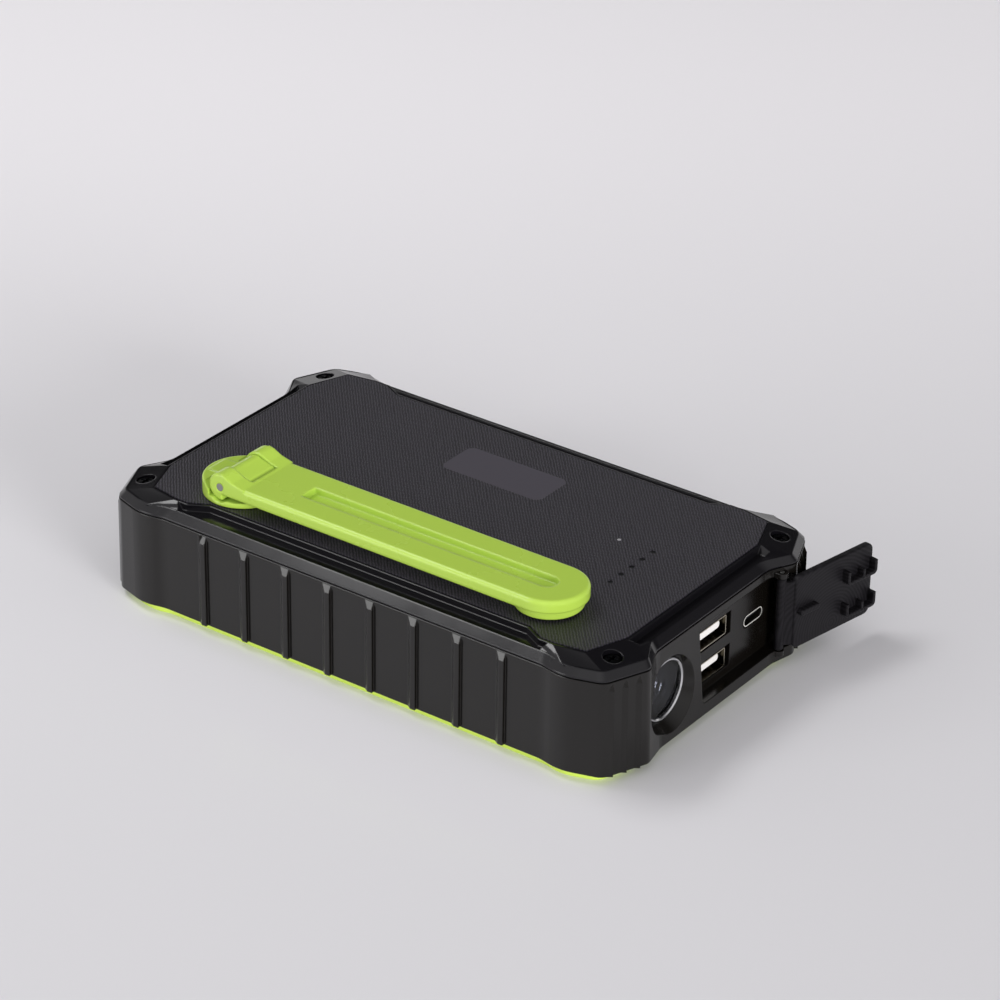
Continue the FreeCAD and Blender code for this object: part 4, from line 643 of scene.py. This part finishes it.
class CHARGER_OT_screws(bpy.types.Operator):
    """Make the cross-slotted screws in the lid's corners and in the knob"""
    bl_idname = "charger.make_screws"
    bl_label = "Make the screws"

    def execute(self, context):
        sizes = context.scene.charger_sizes
        black_steel = worked_metal("black_oxide_steel", tint("121214"), rough=0.4, pitch=0.4 * MM)
        zinc_steel = worked_metal("zinc_plated_steel", tint("a8a9a6"), rough=0.28, pitch=0.5 * MM)
        low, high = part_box("cover_screws")
        head_r = 2.3 * MM
        head_h = 1.3 * MM
        seat = high.z - head_h
        screws = [(screw_surface((x, y, seat), 1, head_r, head_h, shank_r=1.3 * MM, length=seat - low.z,
                                 slot_width=sizes.screw_slot), OPEN)
                  for x in (low.x + head_r, high.x - head_r) for y in (low.y + head_r, high.y - head_r)]
        make_piece("corner_screws", screws, black_steel, "case", ["cover_screws"])
        low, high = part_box("knob_screw")
        x, y = middle(low, high)[:2]
        head_h = 0.7 * MM
        wider = 1.6                 # the knob's screw has a wider slot
        screw = screw_surface((x, y, low.z + head_h), -1, (high.x - low.x) / 2, head_h, shank_r=1.2 * MM,
                              length=high.z - low.z - head_h, slot_width=sizes.screw_slot * wider)
        make_piece("knob_screw_cross", [(screw, OPEN)], zinc_steel, "folding_arm",
                   ["knob_screw"])
        paint(zinc_steel, "board_screws", "plate_screws", "plate_standoffs")
        return {"FINISHED"}


class CHARGER_OT_torch(bpy.types.Operator):
    """Make the torch's reflector bowl and finish its bezel, lens and lamp"""
    bl_idname = "charger.make_torch"
    bl_label = "Make the torch"

    def execute(self, context):
        sizes = context.scene.charger_sizes
        stage = context.scene.charger_stage
        low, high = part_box("torch_reflector")
        _, axis_y, axis_z = middle(low, high)
        depth = high.x - low.x
        outer = (high.y - low.y) / 2
        wall = 0.6 * MM
        throat = 2.0 * MM
        rings = 7
        share = np.linspace(0, 1, 90)
        inner = throat + (outer - wall - throat) * np.sqrt(share)
        ridge = 0.5 + 0.5 * np.cos(share * 2 * rings * math.pi)
        inner = inner - sizes.reflector_ridge * np.sin(share * math.pi) * ridge
        profile = np.concatenate([
            np.column_stack([share * depth, inner]),
            np.column_stack([share[::-1] * depth, inner[::-1] + wall])])
        bowl = turned(profile, (low.x, axis_y, axis_z), (1, 0, 0), (0, 1, 0), stage.segments)
        mirror = worked_metal("vacuum_plated_reflector", tint("8c8c90"), rough=0.05, pitch=2 * MM, depth=0.02)
        make_piece("reflector_bowl", [(bowl, TUBE)], mirror, "case", ["torch_reflector"])
        paint(worked_metal("chromed_bezel", tint("e6e6e8"), rough=0.12, pitch=3 * MM, depth=0.02), "torch_bezel")
        paint(clear_plastic("coated_clear_polycarbonate", tint("8a8c91"), rough=0.02), "torch_lens")
        paint(moulded_plastic("led_phosphor_gel", tint("d9c24a"), 0.4 * MM, 0.1 * MM, rough=0.25), "torch_led")
        return {"FINISHED"}


def spring_leaf(mouth_x, middle_y, floor_z):
    """A flat leaf that runs inwards from a socket's mouth and bows up off its floor by rise*sin(pi t)^2."""
    start, long = 1.0, 6.0          # millimetres from the mouth to the leaf, and along it
    half_y = 0.9 * MM
    rise = 0.45 * MM
    gap = 0.06 * MM
    thick = 0.12 * MM
    t = np.linspace(0, 1, 12)
    x, y = np.meshgrid(mouth_x - (start + long * t) * MM, middle_y + np.array([-half_y, half_y]), indexing="ij")
    z = np.repeat((floor_z + gap + rise * np.sin(math.pi * t) ** 2)[:, None], 2, axis=1)
    top = np.stack([x, y, z], axis=-1)
    under = top - np.array([0, 0, thick])
    return np.concatenate([top, under[:, ::-1]], axis=1)


class CHARGER_OT_sockets(bpy.types.Operator):
    """Make the sockets' rounded tongues, gold contacts and spring leaves, and finish their shells"""
    bl_idname = "charger.make_sockets"
    bl_label = "Make the sockets"

    def execute(self, context):
        sizes = context.scene.charger_sizes
        sheet = 0.3 * MM            # thickness of a shell's wall
        raised = 0.15 * MM          # height of the tongue's middle above the shell's
        root = 4.0 * MM             # length of the block that holds the tongue
        held = 0.5 * MM             # how far the tongue goes into it
        tongue_half = 1.1 * MM
        set_back = 0.6 * MM         # from the tongue's end to its contacts
        half_long = sizes.contact_long / 2
        strip = pillow(half_long, sizes.contact_width / 2, low=-0.12 * MM, high=0.05 * MM, corner=0.2 * MM,
                       edge=0.05 * MM, steps=3)
        contacts = []
        springs = []
        tongues = []
        for name in ("lower", "upper"):
            low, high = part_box("usb_tongue_" + name)
            shell_low, shell_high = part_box("usb_shell_" + name)
            _, socket_y, socket_z = middle(shell_low, shell_high)
            tongue_z = socket_z + raised
            block = pillow((high.y - low.y) / 2, (high.z - low.z) / 2, 0.0, root, corner=0.5 * MM, edge=0.1 * MM)
            tongue = pillow(half_w=5.5 * MM, half_h=tongue_half, low=0.0, high=high.x - low.x - root + held,
                            corner=0.95 * MM, edge=0.25 * MM)
            tongues += [(placed(block, (low.x + root, socket_y, middle(low, high)[2]), *INWARD), OPEN),
                        (placed(tongue, (high.x, socket_y, tongue_z), *INWARD), OPEN)]
            for step in (-3.5, -1.0, 1.0, 3.5):      # millimetres to each contact, as in a USB-A socket
                at = (high.x - set_back - half_long, socket_y + step * MM, tongue_z - tongue_half)
                contacts.append((placed(strip, at, (1, 0, 0), (0, -1, 0), (0, 0, 1)), OPEN))
            for step in (-2.6, 2.6):
                springs.append((spring_leaf(shell_high.x, socket_y + step * MM, shell_low.z + sheet), OPEN))
        gold = worked_metal("gold_plated_contacts", tint("c9a24a"), rough=0.22, pitch=0.5 * MM, depth=0.05)
        # The second colour is painted shade on the sockets' inner walls.
        nickel = folded_nickel("folded_nickel_plated_steel", tint("cfc8b6"), tint("4a4538"), rough=0.24)
        make_piece("usb_contacts", contacts, gold, "case")
        make_piece("usb_spring_leaves", springs, nickel, "case")
        paint(nickel, "usb_shell_lower", "usb_shell_upper")
        # The near-black second colour is painted shade inside the input port.
        satin = folded_nickel("satin_nickel_plated_steel", tint("f0eee8"), tint("1c1b19"), rough=0.4, metal=0.55)
        paint(satin, "input_port_shell")
        white = moulded_plastic("white_pbt", tint("dedbd9"), 0.5 * MM, 0.1 * MM, rough=0.38, bump=0.04)
        make_piece("usb_tongues_rounded", tongues, white, "case",
                   ["usb_tongue_lower", "usb_tongue_upper"])
        black = moulded_plastic("black_pbt", tint("17171a"), 0.5 * MM, 0.1 * MM, rough=0.4, bump=0.04)
        paint(black, "input_port_tongue", "usb_spacer", "board_spacers", "button_switch")
        return {"FINISHED"}


def flap_surfaces(pivot, edge):
    """Surfaces of the closed flap. The plate is a pillow that lies off the hinge axis, the barrel is a tube
    turned about that axis, the leaf is a thin pillow between them, and each plug is a section along a U."""
    thick = 2.0 * MM
    outer_x = pivot[0] - 1.0 * MM
    inner_x = outer_x - thick
    end_y = pivot[1] - 2.4 * MM
    half_y = 14.95 * MM
    half_z = 10.8 * MM
    plate = placed(pillow(half_y, half_z, 0.0, thick, corner=2.2 * MM, edge=edge),
                   (outer_x, end_y - half_y, pivot[2]), *INWARD)
    bore = 0.65 * MM
    barrel_r = 1.3 * MM
    chamfer = 0.15 * MM
    gap = 0.1 * MM                  # the barrel ends this much inside the plate, at both ends
    top = 2 * (half_z - gap)
    tube = [(0.0, bore), (0.0, barrel_r - chamfer), (chamfer, barrel_r), (top - chamfer, barrel_r),
            (top, barrel_r - chamfer), (top, bore)]
    barrel = turned(tube, (pivot[0], pivot[1], pivot[2] - half_z + gap), (0, 0, 1), (1, 0, 0), segments=32)
    along = np.array([-0.539, -0.842, 0.0])      # from the barrel to the plate's end
    leaf_half = 0.65 * MM
    leaf = pillow(half_w=1.7 * MM, half_h=half_z - 1.3 * MM, low=-leaf_half, high=leaf_half, corner=0.4 * MM,
                  edge=0.3 * MM)
    leaf = placed(leaf, pivot - (1.2 * MM, 1.65 * MM, 0.0), along, (0, 0, 1), np.cross(along, (0, 0, 1)))
    surfaces = [(plate, OPEN), (barrel, TUBE), (leaf, OPEN)]
    leg_y = 5.25 * MM               # the U's legs, their tops, and the height at which its corners start
    leg_top = 2.06 * MM
    corner_z = -0.76 * MM
    corner = 0.8 * MM
    quarter = np.linspace(0, math.pi / 2, 6)
    arc_y = np.append(leg_y, leg_y - corner + corner * np.cos(quarter))
    arc_z = np.append(leg_top, corner_z - corner * np.sin(quarter))
    wall = rounded_outline(half_w=0.5 * MM, half_h=1.3 * MM, radius=0.25 * MM, steps=5) + (0.0, 1.0 * MM)
    web = pillow(half_w=0.45 * MM, half_h=1.4 * MM, low=-0.3 * MM, high=2.3 * MM, corner=0.3 * MM,
                 edge=0.2 * MM)
    for name in ("lower", "upper"):
        low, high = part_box("usb_shell_" + name)
        _, socket_y, socket_z = middle(low, high)
        path_y = socket_y + np.concatenate([arc_y, -arc_y[::-1]])
        path_z = socket_z + np.concatenate([arc_z, arc_z[::-1]])
        path = np.column_stack([np.full(len(path_y), inner_x), path_y, path_z])
        at = (inner_x, socket_y - 0.6 * MM, socket_z - 0.4 * MM)
        surfaces += [(swept(path, wall, (-1, 0, 0), closed=False), OPEN), (placed(web, at, *INWARD), OPEN)]
    low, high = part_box("input_port_shell")
    plug = pillow(half_w=3.67 * MM, half_h=0.83 * MM, low=-0.3 * MM, high=1.9 * MM, corner=0.83 * MM,
                  edge=0.35 * MM)
    surfaces.append((placed(plug, (inner_x, *middle(low, high)[1:]), *INWARD), OPEN))
    return surfaces


class CHARGER_OT_flap(bpy.types.Operator):
    """Make the rubber flap with its rounded plate, hinge barrel and plugs"""
    bl_idname = "charger.make_flap"
    bl_label = "Make the port flap"

    def execute(self, context):
        sizes = context.scene.charger_sizes
        colours = context.scene.charger_colours
        joint = [entry for entry in frame["joints"] if entry["name"] == "flap_swing"][0]
        pivot = np.array(joint["pos_m"], float)
        opened = math.radians(joint["range_deg"][1])
        surfaces = [(swung(grid, pivot, opened), tube) for grid, tube in flap_surfaces(pivot, sizes.flap_edge)]
        rubber = moulded_rubber("black_tpe_rubber", colours.rubber_black, edge=0.25 * MM, pitch=sizes.flap_lines,
                                centre=pivot + (0.0, 16 * MM, -8 * MM))
        make_piece("port_flap_rubber", surfaces, rubber, "flap", ["port_flap"])
        return {"FINISHED"}


class CHARGER_OT_lights(bpy.types.Operator):
    """Finish the indicator lights, their chips and the charge lamp"""
    bl_idname = "charger.dress_lights"
    bl_label = "Dress the lights"

    def execute(self, context):
        smoked = moulded_plastic("smoked_light_pipe", tint("050506"), 0.6 * MM, 0.1 * MM, rough=0.35, bump=0.0)
        paint(smoked, "indicator_pipes")
        opal = moulded_plastic("opal_light_pipe", tint("a2a2a6"), 0.6 * MM, 0.1 * MM, rough=0.3, bump=0.0)
        paint(opal, "charge_lamp", "indicator_chips")
        return {"FINISHED"}


class CHARGER_OT_button(bpy.types.Operator):
    """Make the rounded rubber power button"""
    bl_idname = "charger.make_button"
    bl_label = "Make the power button"

    def execute(self, context):
        colours = context.scene.charger_colours
        low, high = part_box("power_button")
        _, centre_y, centre_z = middle(low, high)
        half_y = (high.y - low.y) / 2
        half_z = (high.z - low.z) / 2
        corner = 2.2 * MM
        flange_wide = 1.0 * MM
        flange_thick = 1.0 * MM
        cap = pillow(half_y - flange_wide, half_z - flange_wide, -2.0 * MM, 0.0, corner, edge=0.5 * MM)
        flange = pillow(half_y, half_z, -flange_thick, 0.0, corner, edge=0.1 * MM)
        surfaces = [(placed(cap, (low.x, centre_y, centre_z), *OUTWARD), OPEN),
                    (placed(flange, (high.x - flange_thick, centre_y, centre_z), *OUTWARD), OPEN)]
        silicone = moulded_rubber("lime_silicone", colours.lime, edge=0.2 * MM, pitch=1.3 * MM)
        make_piece("power_button_cap", surfaces, silicone, "button", ["power_button"])
        return {"FINISHED"}


class CHARGER_OT_works(bpy.types.Operator):
    """Finish the gears, generator, cells and boards inside"""
    bl_idname = "charger.dress_works"
    bl_label = "Dress the works"

    def execute(self, context):
        acetal = moulded_plastic("natural_acetal", tint("e4e2d8"), 0.5 * MM, 0.08 * MM, rough=0.3, bump=0.03)
        paint(acetal, "drive_gear", "idler_gear_1", "idler_gear_2")
        bronze = worked_metal("sintered_bronze", tint("a07a3c"), rough=0.35, pitch=0.3 * MM)
        paint(bronze, "hub_bush", "rotor_pinion")
        can = worked_metal("drawn_plated_steel", tint("8f908e"), rough=0.26, pitch=0.3 * MM, stretch=(1, 1, 0.1))
        paint(can, "generator_can", "generator_end_bell", "gear_plate")
        paint(wound_copper("enamelled_copper"), "generator_stator")
        ferrite = moulded_plastic("sintered_ferrite", tint("2b2b2e"), 0.3 * MM, 0.1 * MM, rough=0.5)
        paint(ferrite, "generator_rotor")
        foil = worked_metal("embossed_pouch_foil", tint("b4b6b9"), rough=0.3, pitch=1.2 * MM, depth=0.4)
        paint(foil, "battery_cells")
        paint(circuit_board("solder_masked_board"), "main_board", "input_board", "indicator_board", "torch_board",
              "switch_board")
        return {"FINISHED"}


# ---------------------------------------------------------------- stage


def coated_floor(name, rgb, far_painted_light_rgb, away):
    """Coated studio board with a faint uneven tone, smooth enough to mirror what stands on it at a low angle. It
    pales towards the back: painted light that brightens the flat board behind the charger."""
    material, tree, where = blank(name)
    tone = noise(tree, where, 0.5, 2.0)
    base = mixed(tree, tone, scaled(rgb, 0.97), scaled(rgb, 1.03))
    # The board's colour pales towards the back: painted light, not a different board.
    back = vector_math(tree, "DOT_PRODUCT", where, Vector(away).normalized())
    far = remapped(tree, back, 0.02, 0.40, curve="SMOOTHSTEP")
    base = mixed(tree, far, base, scaled(far_painted_light_rgb))
    return finish(material, {"Base Color": base, "Roughness": 0.22, "IOR": 1.45})


def studio_sky(stage):
    """A sky of three parts added up: a bright key side, a broad fill on the sockets' side and a low band behind
    the charger."""
    world = bpy.data.worlds.new("even_sky")
    world.use_nodes = True
    tree = world.node_tree
    tree.nodes.clear()
    toward = add(tree, "ShaderNodeTexCoord").outputs["Generated"]

    def eased(value, low, high, to_low, to_high):
        return remapped(tree, value, low, high, to_low, to_high, "SMOOTHSTEP")

    def towards(side):
        return vector_math(tree, "DOT_PRODUCT", toward, Vector(side).normalized())

    key = eased(towards(stage.key_side), stage.sky_edge, 1.0, stage.sky_low, stage.sky_high)
    fill = eased(towards(stage.fill_side), stage.fill_edge, 1.0, 0.0, stage.fill)
    bright = value_math(tree, "ADD", key, fill)
    behind = eased(towards(stage.backdrop_side), stage.backdrop_ends, stage.backdrop_full, 0.0, 1.0)
    height = add(tree, "ShaderNodeSeparateXYZ", {"Vector": toward}).outputs["Z"]
    below = eased(height, stage.backdrop_top, stage.backdrop_even, 0.0, stage.backdrop)
    band = value_math(tree, "MULTIPLY", behind, below)
    bright = value_math(tree, "ADD", bright, band)
    glow = add(tree, "ShaderNodeBackground", {"Color": (1.0, 0.985, 1.0, 1.0), "Strength": bright})
    add(tree, "ShaderNodeOutputWorld", {"Surface": glow.outputs["Background"]})
    return world


def hang_lights(scene, stage):
    """Hang the overhead softbox, whose power is glow*pi*width*depth, and the two low lights."""
    overhead = bpy.data.lights.new("softbox_top", "AREA")
    overhead.shape = "RECTANGLE"
    overhead.size = stage.softbox_wide
    overhead.size_y = stage.softbox_deep
    overhead.energy = stage.top_glow * math.pi * stage.softbox_wide * stage.softbox_deep
    front = bpy.data.lights.new("low_light_front", "SUN")
    front.energy = stage.front_light
    side = bpy.data.lights.new("low_light_side", "SUN")
    side.energy = stage.side_light
    for light, place in ((overhead, stage.top_place), (front, stage.front_place), (side, stage.side_place)):
        if light.type == "SUN":
            light.angle = stage.low_spread
        lamp = bpy.data.objects.new(light.name, light)
        lamp.visible_glossy = light != side     # the side light stands too low to be mirrored without glare
        lamp.location = place
        lamp.rotation_euler = (-Vector(place)).to_track_quat("-Z", "Y").to_euler()
        scene.collection.objects.link(lamp)


def place_camera(scene, stage):
    """Look along (-sin t cos r, cos t cos r, -sin r) for a turn t and a rise r, rolled about that line."""
    turn = stage.camera_turn
    rise = stage.camera_rise
    forward = Vector((-math.sin(turn) * math.cos(rise), math.cos(turn) * math.cos(rise), -math.sin(rise)))
    level = Vector((math.cos(turn), math.sin(turn), 0))
    upright = level.cross(forward)
    right = level * math.cos(stage.camera_roll) + upright * math.sin(stage.camera_roll)
    up = right.cross(forward)
    lens = bpy.data.cameras.new("camera")
    lens.sensor_width = 36.0
    lens.lens = stage.focal
    lens.clip_end = 20.0
    camera = bpy.data.objects.new("camera", lens)
    basis = Matrix((right, up, -forward)).transposed().to_4x4()
    basis.translation = Vector(stage.camera_place)
    camera.matrix_world = basis
    scene.collection.objects.link(camera)
    scene.camera = camera


class CHARGER_OT_stage(bpy.types.Operator):
    """Set up the floor, the lights and the camera"""
    bl_idname = "charger.make_stage"
    bl_label = "Make the stage"

    def execute(self, context):
        colours = context.scene.charger_colours
        stage = context.scene.charger_stage
        scene = context.scene
        half = 6.0                  # half the floor's side, in metres
        board = coated_floor("coated_studio_board", colours.floor, colours.far_floor_painted_light, stage.backdrop_side)
        mesh = bpy.data.meshes.new("floor")
        mesh.from_pydata([(-half, -half, 0), (half, -half, 0), (half, half, 0), (-half, half, 0)], [],
                         [(0, 1, 2, 3)])
        mesh.materials.append(board)
        floor = bpy.data.objects.new("floor", mesh)
        scene.collection.objects.link(floor)
        scene.world = studio_sky(stage)
        hang_lights(scene, stage)
        place_camera(scene, stage)
        scene.view_settings.view_transform = "Standard"
        return {"FINISHED"}


# ---------------------------------------------------------------- panel and registration


class CHARGER_PT_panel(bpy.types.Panel):
    """Sizes, colours and the buttons that make each piece"""
    bl_idname = "CHARGER_PT_panel"
    bl_label = "Hand Crank Charger"
    bl_space_type = "VIEW_3D"
    bl_region_type = "UI"
    bl_category = "Charger"

    def draw(self, context):
        scene = context.scene
        for group in (scene.charger_sizes, scene.charger_colours, scene.charger_stage):
            box = self.layout.box()
            for name in group.__annotations__:
                box.prop(group, name)
        for operator in OPERATORS:
            self.layout.operator(operator.bl_idname)


OPERATORS = (CHARGER_OT_case, CHARGER_OT_crank, CHARGER_OT_screws, CHARGER_OT_torch, CHARGER_OT_sockets,
             CHARGER_OT_flap, CHARGER_OT_lights, CHARGER_OT_button, CHARGER_OT_works, CHARGER_OT_stage)
GROUPS = (ChargerSizes, ChargerColours, ChargerStage)


def register():
    for item in GROUPS + OPERATORS + (CHARGER_PT_panel,):
        bpy.utils.register_class(item)
    bpy.types.Scene.charger_sizes = PointerProperty(type=ChargerSizes)
    bpy.types.Scene.charger_colours = PointerProperty(type=ChargerColours)
    bpy.types.Scene.charger_stage = PointerProperty(type=ChargerStage)


def unregister():
    del bpy.types.Scene.charger_stage
    del bpy.types.Scene.charger_colours
    del bpy.types.Scene.charger_sizes
    for item in reversed(GROUPS + OPERATORS + (CHARGER_PT_panel,)):
        bpy.utils.unregister_class(item)


def main():
    register()
    bpy.ops.charger.dress_case()
    bpy.ops.charger.dress_crank()
    bpy.ops.charger.make_screws()
    bpy.ops.charger.make_torch()
    bpy.ops.charger.make_sockets()
    bpy.ops.charger.make_flap()
    bpy.ops.charger.dress_lights()
    bpy.ops.charger.make_button()
    bpy.ops.charger.dress_works()
    bpy.ops.charger.make_stage()


if __name__ == "__main__":
    main()
